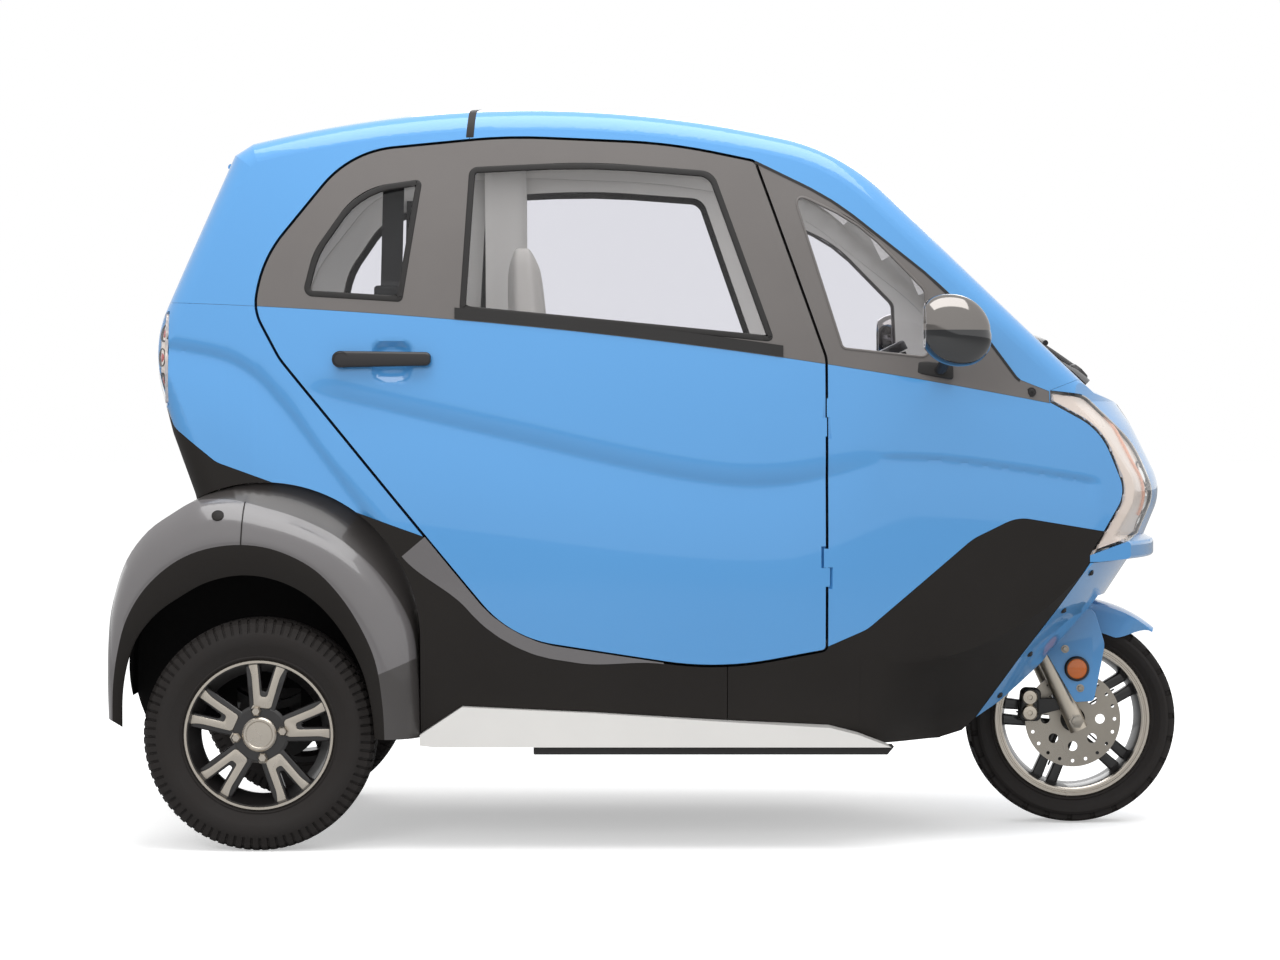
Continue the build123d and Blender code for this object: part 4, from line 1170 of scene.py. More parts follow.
    def build(self) -> None:
        """Make the trim of both flanks."""
        for name, side in SIDES:
            flip = mirrored if side == LEFT else (lambda bm: bm)
            seals = self.window_seal(MAIN_WINDOW, self.seal)
            gather(seals, self.window_seal(REAR_WINDOW, self.seal))
            gather(seals, self.belt_band())
            self.shop.piece(f"door_{name}_seals", flip(seals), f"door_{name}", "dark_plastic", [RUBBER])
            self.shop.piece(f"door_{name}_lever", flip(self.handle()), f"door_{name}", "dark_plastic", [DARK],
                            [f"door_{name}_handle"])
        strip = raised(((-271, 207, 3), (-271, 224, 0), (492, 224, 0), (478, 207, 3)), 60, 2)
        for name, bm, finishes in (
                ("quarter_seals", self.window_seal(FRONT_WINDOW, self.slim_seal), [FRAME_GREY]),
                ("aperture_seals", self.aperture_seal(), [RUBBER, TRIM]),
                ("cladding_corners", self.corner(), [CLADDING]),
                ("cladding_bands", self.edge_band(), [GLOSS_GREY]),
                ("frame_seams", self.frame_seam(), [RUBBER]),
                ("sill_strips", on_right(strip, (0, self.sill_y, 0)), [RUBBER])):
            self.shop.piece(name, doubled(bm), "chassis", "dark_plastic", finishes)
        x, z = self.mirror_screw
        screws = self.screw((x, -flank(x, z) - 0.2, z), (0, -1, 0))
        shield = self.shop.surface("front_shield")
        for share in self.shield_screws:
            x, z = [foot + share * rise for foot, rise in zip(self.shield_foot, self.shield_rise)]
            hit, normal = shield.ray_cast(Vector((x, BESIDE, z)), Vector((0, 1, 0)))[:2]
            if hit is not None:
                gather(screws, self.screw(hit, normal, 5.0))
        self.shop.piece("flank_screws", doubled(screws), "chassis", "steel", [DARK])


# Rear fender seen from the side, from its rear foot over the wheel to its front foot: x, z
FENDER_EDGE = ((-1139, 267), (-1138, 340), (-1127, 405), (-1106, 458), (-1068, 505), (-1020, 540),
               (-961, 572), (-890, 587), (-819, 578), (-754, 548), (-701, 500), (-659, 440), (-629, 375),
               (-612, 300), (-606, 241))
FENDER_LIP = ((-1157, 282), (-1156, 353), (-1147, 424), (-1128, 495), (-1089, 560), (-1030, 613),
              (-965, 642), (-888, 652), (-812, 640), (-735, 602), (-676, 542), (-631, 471), (-602, 400),
              (-588, 311), (-584, 241))
FENDER_CREST = ((-1172, 285), (-1175, 365), (-1174, 443), (-1166, 520), (-1138, 612), (-1093, 676),
                (-1039, 716), (-986, 744), (-914, 746), (-842, 729), (-771, 707), (-699, 673), (-639, 628),
                (-592, 580), (-550, 520), (-525, 455), (-516, 359), (-514, 241))


@dataclass
class RearFender:
    """Domed fender over a rear wheel, swept from three curves read off the photograph."""

    shop: Workshop
    steps: int = 72
    centre: Point = (-844.0, 450.0)
    radius: float = 331.0
    # Height below which the front foot gets the darker satin: painted shade
    shade_below: float = 392.0
    seam_x: float = -893.0
    plug_x: float = -930.0
    # Share of the way from crest to lip, distance from the centre plane
    dome = ((0.0, 512.0), (0.2, 537.0), (0.5, 555.0), (0.8, 562.5), (1.0, 564.0))
    # Points of a section: two at its root, then those of the dome, of which the last is the lip
    root_points: int = 2

    def along(self, knots: Sequence[Point]) -> list[Vector]:
        """Even points on a smooth curve through the knots.

        Args:
            knots: points in side view.

        Returns:
            Points at even distances, as many as the sweep has steps.
        """
        spots = [Vector(k) for k in knots]
        fine: list[Vector] = []
        for i in range(len(spots) - 1):
            a, b, c, d = (spots[min(max(j, 0), len(spots) - 1)] for j in range(i - 1, i + 3))
            for k in range(12):
                t = k / 12
                fine.append(0.5 * (2 * b + (c - a) * t + (2 * a - 5 * b + 4 * c - d) * t * t
                                   + (3 * b - a - 3 * c + d) * t ** 3))
        fine.append(spots[-1])
        runs = distances(fine)
        even = []
        j = 0
        for i in range(self.steps):
            goal = runs[-1] * i / (self.steps - 1)
            while j < len(runs) - 2 and runs[j + 1] < goal:
                j += 1
            even.append(fine[j].lerp(fine[j + 1], (goal - runs[j]) / (runs[j + 1] - runs[j])))
        return even

    def root(self, crest: Vector) -> Vector:
        """Point where the fender leaves the body, out from a point of its crest.

        Args:
            crest: point of the crest in side view.

        Returns:
            Point on the round opening of the body, or straight below it.
        """
        middle = Vector(self.centre)
        if crest.y > middle.y:
            return middle + (crest - middle).normalized() * self.radius
        return Vector((middle.x + math.copysign(self.radius, crest.x - middle.x), crest.y))

    def section(self, crest: Vector, lip: Vector, edge: Vector) -> list[Vector]:
        """Closed section of the sheet at one step.

        Args:
            crest: where the gloss dome begins.
            lip: outer side of the matt band.
            edge: edge of the wheel opening.

        Returns:
            Points from the body out over the dome, round the lip and back inside.
        """
        root = self.root(crest)
        flat = [(root, 398.0), (root, 472.0)]
        flat += [(crest.lerp(lip, share), y) for share, y in self.dome]
        flat += [(lip.lerp(edge, 0.9), 551.0), (edge, 547.5), (edge, 541.5), (edge.lerp(lip, 0.4), 539.5),
                 (lip.lerp(crest, 0.25), 536.0), (lip.lerp(crest, 0.5), 500.0),
                 (lip.lerp(crest, 0.55), 398.0)]
        return [Vector((spot.x, -y, spot.y)) for spot, y in flat]

    def build(self) -> None:
        """Make both fenders with their seam and plug."""
        curves = [self.along(k) for k in (FENDER_CREST, FENDER_LIP, FENDER_EDGE)]
        sections = [self.section(*spots) for spots in zip(*curves)]
        spans, count = self.steps - 1, len(sections[0])
        dome_point = self.root_points + len(self.dome) // 2
        lip_point = self.root_points + len(self.dome) - 1

        def put(u: float, v: float) -> Vector:
            """Point of a section, u along the fender and v round the section."""
            return sections[round(u * spans)][round(v * count) % count]

        def finish(u: float, v: float) -> int:
            """Number of the finish: gloss on the dome, darker satin at root and front foot, matt elsewhere;
            on the front foot the darker satin is painted shade.
            """
            k = int(v * count)
            lip = sections[int(u * spans)][lip_point]
            # Below this height the front foot gets the darker satin: painted shade.
            foot = lip.z < self.shade_below and lip.x > self.centre[0]
            if k >= lip_point:
                return 1
            return 2 if k < self.root_points or foot else 0

        bm = sheet(spans, count, put, finish)
        bmesh.ops.remove_doubles(bm, verts=bm.verts, dist=0.005)
        ends = bmesh.ops.holes_fill(bm, edges=[e for e in bm.edges if e.is_boundary])["faces"]
        for face in ends:
            face.material_index = 1
        outward(bm)
        near = min(sections, key=lambda line: abs(line[dome_point].x - self.seam_x))
        seam = [spot + Vector((0, -0.3, 0.2)) for spot in near[self.root_points:lip_point + 1]]
        gather(bm, rod(seam, 1.5, 6), 1)
        plug = turned(((0, -1), (13, -1), (13, 1.5), (11, 2.5), (0, 2.0)), 24)
        side = min(sections, key=lambda line: abs(line[dome_point].x - self.plug_x))
        spot = side[dome_point - 1].lerp(side[dome_point], 0.5)
        gather(bm, placed(plug, spot, (1, 0, 0), (0, -0.8, 0.6)), 1)
        self.shop.piece("fender_domes", doubled(bm), "chassis", "fender", [GLOSS_GREY, CLADDING, SATIN_PAINTED_SHADE],
                        ["rear_fenders"], 30.0)


@dataclass
class Wheel:
    """One wheel: tyre with tread, cast rim with spokes, cap and nuts.

    It is drawn about its own Z axis, which points out of its show side, with X to the front.
    """

    shop: Workshop
    name: str
    body: str
    x: float
    y: float
    radius: float
    half: float
    lip: float
    rim_half: float
    forked: bool
    side: int = RIGHT
    spokes: int = 5
    start_deg: float = 12.0
    groove: float = 5.5
    nuts: int = 4
    nut_deg: float = 98.0
    nut_circle: float = 50.0

    def tyre(self) -> BMesh:
        """Tyre with grooves round the tread, cut shoulder blocks and ribbed side walls.

        Returns:
            A new closed mesh in the wheel's axes.
        """
        r, h, lip, seat = self.radius, self.half, self.lip, self.rim_half - 4
        tread = h * (0.66 if self.forked else 0.74)
        side = [(lip - 6, seat - 6), (lip + 1, seat), (lip + 5, seat + 3), (lip + 8, seat + 1.5),
                (lip + (r - lip) * 0.34, h - 3), (lip + (r - lip) * 0.38, h - 1.6),
                (lip + (r - lip) * 0.56, h), (lip + (r - lip) * 0.66, h - 2.5), (r - 22, h - 8),
                (r - 9, (h + tread) / 2), (r - 4, tread + 4)]
        crown = [(r - 1.5, tread)]
        for place in (0.55, 0.1):
            crown += [(r - 0.6, tread * place + self.groove / 2), (r - 7, tread * place + self.groove / 3),
                      (r - 7, tread * place - self.groove / 3), (r - 0.3, tread * place - self.groove / 2)]
        if not self.forked:
            crown = [(r - 5, tread * 0.86), (r - 1, tread * 0.42)]
        half = side + crown
        profile = half + [(a, -b) for a, b in reversed(half)]
        bm = turned(profile, self.around(), True)
        if self.forked:
            blocks = [f for f in bm.faces if self.is_block(f, tread * 0.62, r - 29, 3)]
            bmesh.ops.inset_region(bm, faces=blocks, thickness=0.6, depth=-4.0, use_boundary=True)
        else:
            cuts = [f for f in bm.faces if self.is_block(f, -1, r - 20, 4)]
            bmesh.ops.inset_region(bm, faces=cuts, thickness=1.0, depth=-4.5, use_boundary=True)
        return bm

    def around(self) -> int:
        """Steps round the tyre."""
        return 240 if self.forked else 108

    def is_block(self, face: bmesh.types.BMFace, inner: float, low: float, every: int) -> bool:
        """Whether a tyre face is one of the tread cuts.

        Args:
            face: face of the tyre in its local axes.
            inner: nearest distance from the middle plane.
            low: smallest radius.
            every: one cut in so many steps.

        Returns:
            True for a face that is pushed in.
        """
        centre = face.calc_center_median()
        step = int((math.atan2(centre.y, centre.x) % (2 * math.pi)) / (2 * math.pi) * self.around())
        if not self.forked:
            step = int(step + centre.z / 12) if centre.z > 0 else int(step - centre.z / 12)
        return math.hypot(centre.x, centre.y) > low and abs(centre.z) > inner and step % every == 0

    def barrel(self) -> tuple[BMesh, BMesh]:
        """Black barrel of the rim and its bright turned lip.

        Returns:
            The bright lip and the black barrel, in the wheel's axes.
        """
        lip, w = self.lip, self.rim_half
        if self.forked:
            bead, wall = lip - 9, lip - 12
            bright = [(lip - 2, w), (lip - 7, w), (lip - 8, w - 9)]
        else:
            bead, wall = lip - 20, lip - 24
            bright = [(lip - 3, w), (lip - 9, w), (lip - 10, w - 2), (lip - 13, w - 2), (lip - 14, w - 1),
                      (lip - 18, w - 1.5), (lip - 20, w - 9)]
        face = turned([(lip - 1, w - 9), (lip, w - 3)] + bright, 96, True)
        black = turned(((lip - 1, w - 9), (bead, w - 9), (wall, w - 20), (lip - 30, 0), (lip - 26, -w + 16),
                        (lip - 14, -w), (lip, -w + 2), (lip - 3, -w + 10), (lip - 18, -w + 18), (lip - 22, 0),
                        (wall + 6, w - 14)), 96, True)
        return face, black

    def spoke(self, angle: float) -> tuple[BMesh, BMesh]:
        """One black spoke and the bright fork machined on its face.

        Args:
            angle: direction of the spoke in radians.

        Returns:
            The black body and the bright face.
        """
        end = self.lip - (9 if self.forked else 17)
        top = self.rim_half - 22 if self.forked else self.rim_half - 34
        if self.forked:
            base = ((40, -25, 6), (end, -48, 0), (end, -16, 0), (92, -4, 4), (92, 4, 4), (end, 16, 0),
                    (end, 48, 0), (40, 25, 6))
            bright = ((56, -18, 8), (126, -31, 60), (end + 2, -44, 0), (end + 2, -21, 0), (80, -7, 6),
                      (80, 7, 6), (end + 2, 21, 0), (end + 2, 44, 0), (126, 31, 60), (56, 18, 8))
            parts = [placed(raised(base, 17, 4), (0, 0, top - 18), (1, 0, 0), (0, 0, 1)),
                     placed(raised(bright, 5, 1.2), (0, 0, top - 2), (1, 0, 0), (0, 0, 1))]
        else:
            black = bmesh.new()
            for low, high in ((-27, -9), (9, 27)):
                bar = raised(((36, low, 3), (end, low - 4, 0), (end, high + 4, 0), (36, high, 3)), 20, 5)
                gather(black, placed(bar, (0, 0, top - 20), (1, 0, 0), (0, 0, 1)))
            line = raised(((46, -2, 1), (end - 40, -2, 1), (end - 40, 2, 1), (46, 2, 1)), 3, 0.8)
            parts = [black, placed(line, (0, 0, top - 22), (1, 0, 0), (0, 0, 1))]
        for part in parts:
            bmesh.ops.rotate(part, cent=(0, 0, 0), matrix=Matrix.Rotation(angle, 3, "Z"), verts=part.verts)
        return parts[0], parts[1]

    def rim(self) -> BMesh:
        """Lip, barrel, spokes, hub, cap and nuts in one.

        Returns:
            A new mesh in the wheel's axes, with bright faces as finish 0 and black ones as finish 1.
        """
        bm, black = self.barrel()
        gather(bm, black, 1)
        for k in range(self.spokes):
            body, face = self.spoke(math.radians(self.start_deg + 360 / self.spokes * k))
            gather(bm, body, 1)
            gather(bm, face, 0 if self.forked else 1)
        top = self.rim_half - 22 if self.forked else self.rim_half - 30
        hub = 62.0 if self.forked else 46.0
        gather(bm, turned(((10, -44), (hub - 18, -44), (hub - 10, top - 26), (hub, top - 20), (hub, top - 4),
                           (hub - 6, top), (10, top)), 64, True), 1)
        if self.forked:
            gather(bm, turned(((0, top), (36.5, top), (36.5, top + 8), (33, top + 11), (29, top + 11),
                               (27, top + 9), (0, top + 10)), 64), 0)
            for k in range(self.nuts):
                angle = math.radians(self.nut_deg + 360 / self.nuts * k)
                nut = turned(((0, 0), (14, 0), (14, 2), (11, 3), (11, 13), (8, 17), (0, 17)), 6)
                spot = (self.nut_circle * math.cos(angle), self.nut_circle * math.sin(angle), top - 3)
                bmesh.ops.translate(nut, vec=spot, verts=nut.verts)
                gather(bm, nut, 0)
        return bm

    def to_place(self, bm: BMesh) -> BMesh:
        """Move a mesh from the wheel's axes to its place."""
        on_right(bm, (self.x, -abs(self.y), self.radius))
        return mirrored(bm) if self.side == LEFT else bm

    def build(self) -> None:
        """Make the tyre and the rim."""
        self.shop.piece(f"{self.name}_tread_tyre", self.to_place(self.tyre()), self.body, "tyre", [TYRE],
                        [f"{self.name}_tyre"], 28.0)
        self.shop.piece(f"{self.name}_cast_rim", self.to_place(self.rim()), self.body, "rim",
                        [MACHINED, WHEEL_BLACK], [f"{self.name}_rim"], 30.0)


FRONT_AXLE = (939.0, 237.0)
REAR_AXLE_X = -854.0
RAKE = math.radians(24.5)


@dataclass
class FrontEnd:
    """Mudguard with its reflectors, brake caliper, fork fittings and handlebar controls."""

    shop: Workshop
    guard_r: float = 262.0
    guard_half: float = 70.0
    guard_from_deg: float = 47.0
    guard_sweep_deg: float = 79.0
    guard_wall: float = 3.0
    crown_share: float = 0.72
    skirt: float = 58.0
    fork_half: float = 92.0
    seal_up: float = 208.0
    reflector_z: float = 356.0
    caliper_at: Point = (839.0, 273.0)
    bar_at: Point = (542.0, 1041.0)

    def guard(self) -> BMesh:
        """Painted mudguard: crowned blade over the tyre with two legs down the fork.

        Returns:
            A new mesh.
        """
        def put(u: float, v: float) -> Vector:
            """Place of (u, v), u back over the tyre and v across it."""
            angle = math.radians(self.guard_from_deg + u * self.guard_sweep_deg)
            half = self.guard_half * (0.5 + 0.5 * ease(u / 0.18))
            share = abs(v * 2 - 1) / self.crown_share
            y = math.copysign(half * min(share, 1.0), v - 0.5)
            drop = self.skirt * ease(u / 0.22) * max(share - 1, 0.0) / (1 / self.crown_share - 1)
            r = self.guard_r + 9 * (1 - min(share, 1.0) ** 2.5) + 6 * (1 - u) ** 3 - drop
            return Vector((FRONT_AXLE[0] + r * math.cos(angle), y, FRONT_AXLE[1] + r * math.sin(angle)))
        bm = sheet(40, 28, put)
        outward(bm)
        bmesh.ops.solidify(bm, geom=bm.faces[:], thickness=self.guard_wall)
        outward(bm)
        x, z = FRONT_AXLE
        leg = ((-69, 155, 10), (-34, 258, 25), (38, 258, 30), (64, 173, 40), (39, 46, 9), (-3, 43, 9))
        plate = on_right(raised(leg, 5, 2), (x, -self.fork_half - 21.5, z))
        bridge = raised(((-40, 0, 4), (-40, 52, 4), (36, 52, 4), (36, 0, 4)), 4, 1)
        gather(plate, placed(bridge, (x, -self.fork_half - 24, z + 256), (1, 0, 0), (0, 0, 1)))
        gather(bm, doubled(plate))
        return bm

    def reflector(self) -> BMesh:
        """Round amber side reflector in a black ring, with the leg's screws.

        Returns:
            A new mesh of the right side: lens as finish 0, ring 1, screws 2.
        """
        bm = turned(((0, 0), (23, 0), (23, 7), (20, 9), (0, 10.5)), 40)
        gather(bm, turned(((22.5, -1), (28, -1), (28, 6), (25, 9), (22.5, 9)), 40, True), 1)
        for u, v in ((-26, 44), (8, -44)):
            head = turned(((9, 0), (9, 1.5), (6, 2), (5, 5), (0, 5.5)), 16)
            bmesh.ops.translate(head, vec=(u, v, 0), verts=head.verts)
            gather(bm, head, 2)
        return on_right(bm, (FRONT_AXLE[0], -self.fork_half - 26.5, self.reflector_z))

    def caliper(self) -> BMesh:
        """Two-piston brake caliper on a bracket behind the fork leg.

        Returns:
            A new mesh: body as finish 0, piston caps 1.
        """
        body = raised(((-28, -38, 12), (24, -38, 12), (24, 36, 14), (-20, 38, 14)), 30, 7)
        x, z = self.caliper_at
        bm = on_right(body, (x, -66, z))
        bracket = raised(((0, -14, 3), (62, 2, 8), (62, 26, 8), (0, 24, 3)), 12, 2)
        gather(bm, on_right(bracket, (x + 13, -84, z - 11)), 0)
        for dz in (-18, 17):
            cap = turned(((0, 0), (18, 0), (18, 6), (15, 10), (6, 11), (5, 8), (0, 8)), 32)
            gather(bm, on_right(cap, (x - 3, -95, z + dz)), 1)
        return bm

    def fork_fittings(self) -> BMesh:
        """Dust seals, clamps and axle nuts of the fork.

        Returns:
            A new mesh: seals as finish 0, nuts 1.
        """
        bm = bmesh.new()
        up = Vector((-math.sin(RAKE), 0, math.cos(RAKE)))
        for y in (-self.fork_half, self.fork_half):
            seal = turned(((16.3, 0), (23, 0), (23, 14), (20, 20), (16.3, 20)), 32, True)
            spot = Vector((FRONT_AXLE[0], y, FRONT_AXLE[1])) + up * self.seal_up
            gather(bm, placed(seal, spot, (0, 1, 0), up), 0)
            nut = turned(((0, 0), (17, 0), (17, 3), (12.5, 4), (12.5, 12), (9, 14), (0, 14)), 6)
            way = -1 if y < 0 else 1
            gather(bm, placed(nut, (FRONT_AXLE[0], y + way * 20, FRONT_AXLE[1]), (1, 0, 0), (0, way, 0)), 1)
        return bm

    def controls(self) -> BMesh:
        """Grips, brake levers, switch boxes and the display on the handlebar.

        Returns:
            A new mesh: plastic as finish 0, levers 1.
        """
        bx, bz = self.bar_at
        bm = raised(oblong(58, 34, 16), 22, 6)
        placed(bm, (bx - 6, 0, bz + 22), (0, 1, 0), (-0.5, 0, 1))
        for way in (-1, 1):
            start, end = Vector((bx - 44, way * 200, bz)), Vector((bx - 68, way * 308, bz))
            run = (end - start).normalized()
            ribs = [(18.6 + (k % 2) * 1.2, 4 + k * 5) for k in range(20)]
            grip = turned([(17.2, 4)] + ribs + [(19, 104), (17.2, 104)], 24, True)
            gather(bm, placed(grip, start, (0, 0, 1), run), 0)
            box = raised(oblong(16, 22, 6), 40, 5)
            gather(bm, placed(box, start - run * 44, (0, 0, 1), run), 0)
            lever = [start + Vector((22, way * d, 8 - d * 0.04)) for d in (-30, 0, 40, 80, 112)]
            gather(bm, rod(lever, 5.5), 1)
        return bm

    def build(self) -> None:
        """Make the front end's pieces on the steered bodies."""
        self.shop.piece("mudguard_blade", self.guard(), "steering", "paint", [PAINT], ["front_mudguard"])
        self.shop.piece("side_reflectors", doubled(self.reflector()), "steering", "lamp",
                        [AMBER_PAINTED_GLOW, DARK, STEEL])
        self.shop.piece("brake_caliper", self.caliper(), "steering", "steel", [CHASSIS, ANODISED],
                        ["front_caliper"])
        self.shop.piece("fork_fittings", self.fork_fittings(), "steering", "fork", [RUBBER, STEEL])
        self.shop.piece("bar_controls", self.controls(), "steering", "dark_plastic", [DARK, ANODISED])


@dataclass
class Mirrors:
    """Door mirrors on short feet."""

    shop: Workshop
    centre: tuple[float, float, float] = (612.0, -600.0, 1103.0)
    radii: tuple[float, float, float] = (77.0, 49.0, 76.0)
    cut: float = -62.0
    parting: float = -2.0
    fullness: float = 0.92
    lean: float = 0.15
    groove_half: float = 3.5
    groove_share: float = 0.985
    foot_at: Point = (600.0, 1024.0)

    def build(self) -> None:
        """Make both mirrors."""
        bm = bmesh.new()
        bmesh.ops.create_uvsphere(bm, u_segments=48, v_segments=28, radius=1.0)
        for vert in bm.verts:
            vert.co = [math.copysign(abs(c) ** self.fullness, c) * r for c, r in zip(vert.co, self.radii)]
            vert.co.x -= self.lean * vert.co.z
            if abs(vert.co.z - self.parting) < self.groove_half:
                vert.co *= self.groove_share
        geom = bm.verts[:] + bm.edges[:] + bm.faces[:]
        found = bmesh.ops.bisect_plane(bm, geom=geom, plane_co=(self.cut, 0, 0), plane_no=(1, 0, 0),
                                       clear_inner=True)
        rim = [g for g in found["geom_cut"] if isinstance(g, bmesh.types.BMEdge)]
        glass = bmesh.ops.contextual_create(bm, geom=rim)["faces"]
        bmesh.ops.inset_region(bm, faces=glass, thickness=5, use_boundary=True, use_even_offset=True)
        bmesh.ops.inset_region(bm, faces=glass, thickness=1.5, depth=-4, use_boundary=True,
                               use_even_offset=True)
        outward(bm)
        # Paler upper half and black lower half of one housing: painted reflection of sky and ground.
        for face in bm.faces:
            face.material_index = 3 if face.calc_center_median().z < self.parting else 0
        for face in glass:
            face.material_index = 1
        bmesh.ops.translate(bm, vec=self.centre, verts=bm.verts)
        x, z = self.foot_at
        foot = flank(x, z)
        path = [Vector((x - 2, -foot + 4, z - 2)), Vector((x, -foot - 26, z + 2)),
                Vector((x + 4, -foot - 62, z + 16)), Vector((x + 10, self.centre[1] + 10, z + 38))]
        gather(bm, rod(path, 12), 2)
        base = raised(((-112, -1, 4), (27, -24, 5), (27, 8, 7), (-26, 15, 7), (-112, 13, 4)), 9, 3)
        gather(bm, placed(base, (x, -foot, z + 1), (1, 0, 0), (0, -1, 0.12)), 2)
        self.shop.piece("mirror_housings", doubled(bm), "chassis", "dark_plastic",
                        [SKY_REFLECTION_SMOKED, SILVERED, RUBBER, GLOSS_BLACK_GROUND_REFLECTION], ["mirrors"])


@dataclass
class Lamps:
    """Reflectors, projectors and indicators behind the clear lamp covers."""

    shop: Workshop
    inset: float = 0.007
    voxel: float = 0.004
    depth: float = 13.0
    # Light guide: top, drop and number of its points, distance from the centre plane, depth, radius
    guide_top: float = 925.0
    guide_step: float = 17.0
    guide_points: int = 14
    guide_y: float = -300.0
    guide_depth: float = 6.0
    guide_radius: float = 4.0
    # Lamps: height, distance from the centre plane, radius
    projectors = ((800.0, 262.0, 27.0), (735.0, 262.0, 27.0), (690.0, 250.0, 18.0))
    tail_lights = ((1104.0, 414.0, 17.0), (1050.0, 412.0, 17.0), (996.0, 408.0, 17.0))

    def shell(self, node: str) -> bpy.types.Mesh:
        """Copy of a lamp cover brought in on all sides, as the metallised shell.

        Args:
            node: lamp cover.

        Returns:
            A new mesh in metres.
        """
        raw = linked("raw", in_metres(node, self.shop.copy_of(node)))
        remesh = raw.modifiers.new("remesh", "REMESH")
        remesh.mode = "VOXEL"
        remesh.voxel_size = self.voxel
        smooth = raw.modifiers.new("smooth", "SMOOTH")
        smooth.iterations = 4
        inward = raw.modifiers.new("inward", "DISPLACE")
        inward.strength = -self.inset
        inward.mid_level = 0.0
        made = evaluated(raw)
        bpy.data.objects.remove(raw)
        return made

    def seats(self, node: str, way: int, table: Sequence[Corner]) -> BMesh:
        """Round lamps set into a cover from the front or from behind.

        Args:
            node: lamp cover.
            way: 1 when the lamps face forward, -1 when they face back.
            table: height, distance from the centre plane and radius of each lamp.

        Returns:
            Lamps of the right side, with rings as finish 0 and lenses as finish 1.
        """
        cover = self.shop.surface(node)
        bm = bmesh.new()
        for z, y, radius in table:
            hit, normal = cover.ray_cast(Vector((way * AHEAD, -y, z)), Vector((-way, 0, 0)))[:2]
            if hit is None:
                continue
            spot = hit - normal * self.depth
            ring = turned(((radius - 3, -6), (radius + 3, -6), (radius + 3, 7), (radius - 3, 4)), 40, True)
            lens = turned(((0, 8), (radius * 0.5, 6.5), (radius * 0.85, 3), (radius, -3), (0, -3)), 40)
            gather(bm, placed(ring, spot, (0, 1, 0), normal), 0)
            gather(bm, placed(lens, spot, (0, 1, 0), normal), 1)
        return bm

    def strip(self) -> BMesh:
        """Light guide of the indicator down the middle of a headlamp.

        Returns:
            A new closed mesh of the right side.
        """
        cover = self.shop.surface("headlamps")
        path = []
        for k in range(self.guide_points):
            y, z = self.guide_y + abs(k - 6) * 2, self.guide_top - k * self.guide_step
            hit, normal = cover.ray_cast(Vector((AHEAD, y, z)), Vector((-1, 0, 0)))[:2]
            if hit is not None:
                path.append(hit - normal * self.guide_depth)
        return rod(path, self.guide_radius, 10)

    def build(self) -> None:
        """Fill both pairs of lamps."""
        self.shop.piece("indicator_strips", doubled(self.strip()), "chassis", "lamp", [GUIDE])
        for name, node, slot in (("headlamp", "headlamps", "lamp"), ("tail_lamp", "tail_lamps", "red_lamp")):
            # The shells' pale colour is painted reflection.
            self.shop.piece(f"{name}_shells", self.shell(node), "chassis", slot, [REFLECTOR_PAINTED_REFLECTION], (), 50.0)
        front = self.seats("headlamps", 1, self.projectors)
        self.shop.piece("headlamp_projectors", doubled(front), "chassis", "lamp", [DARK, SILVERED])
        rear = self.seats("tail_lamps", -1, self.tail_lights)
        self.shop.piece("tail_lights", doubled(rear), "chassis", "red_lamp", [DARK, RED])


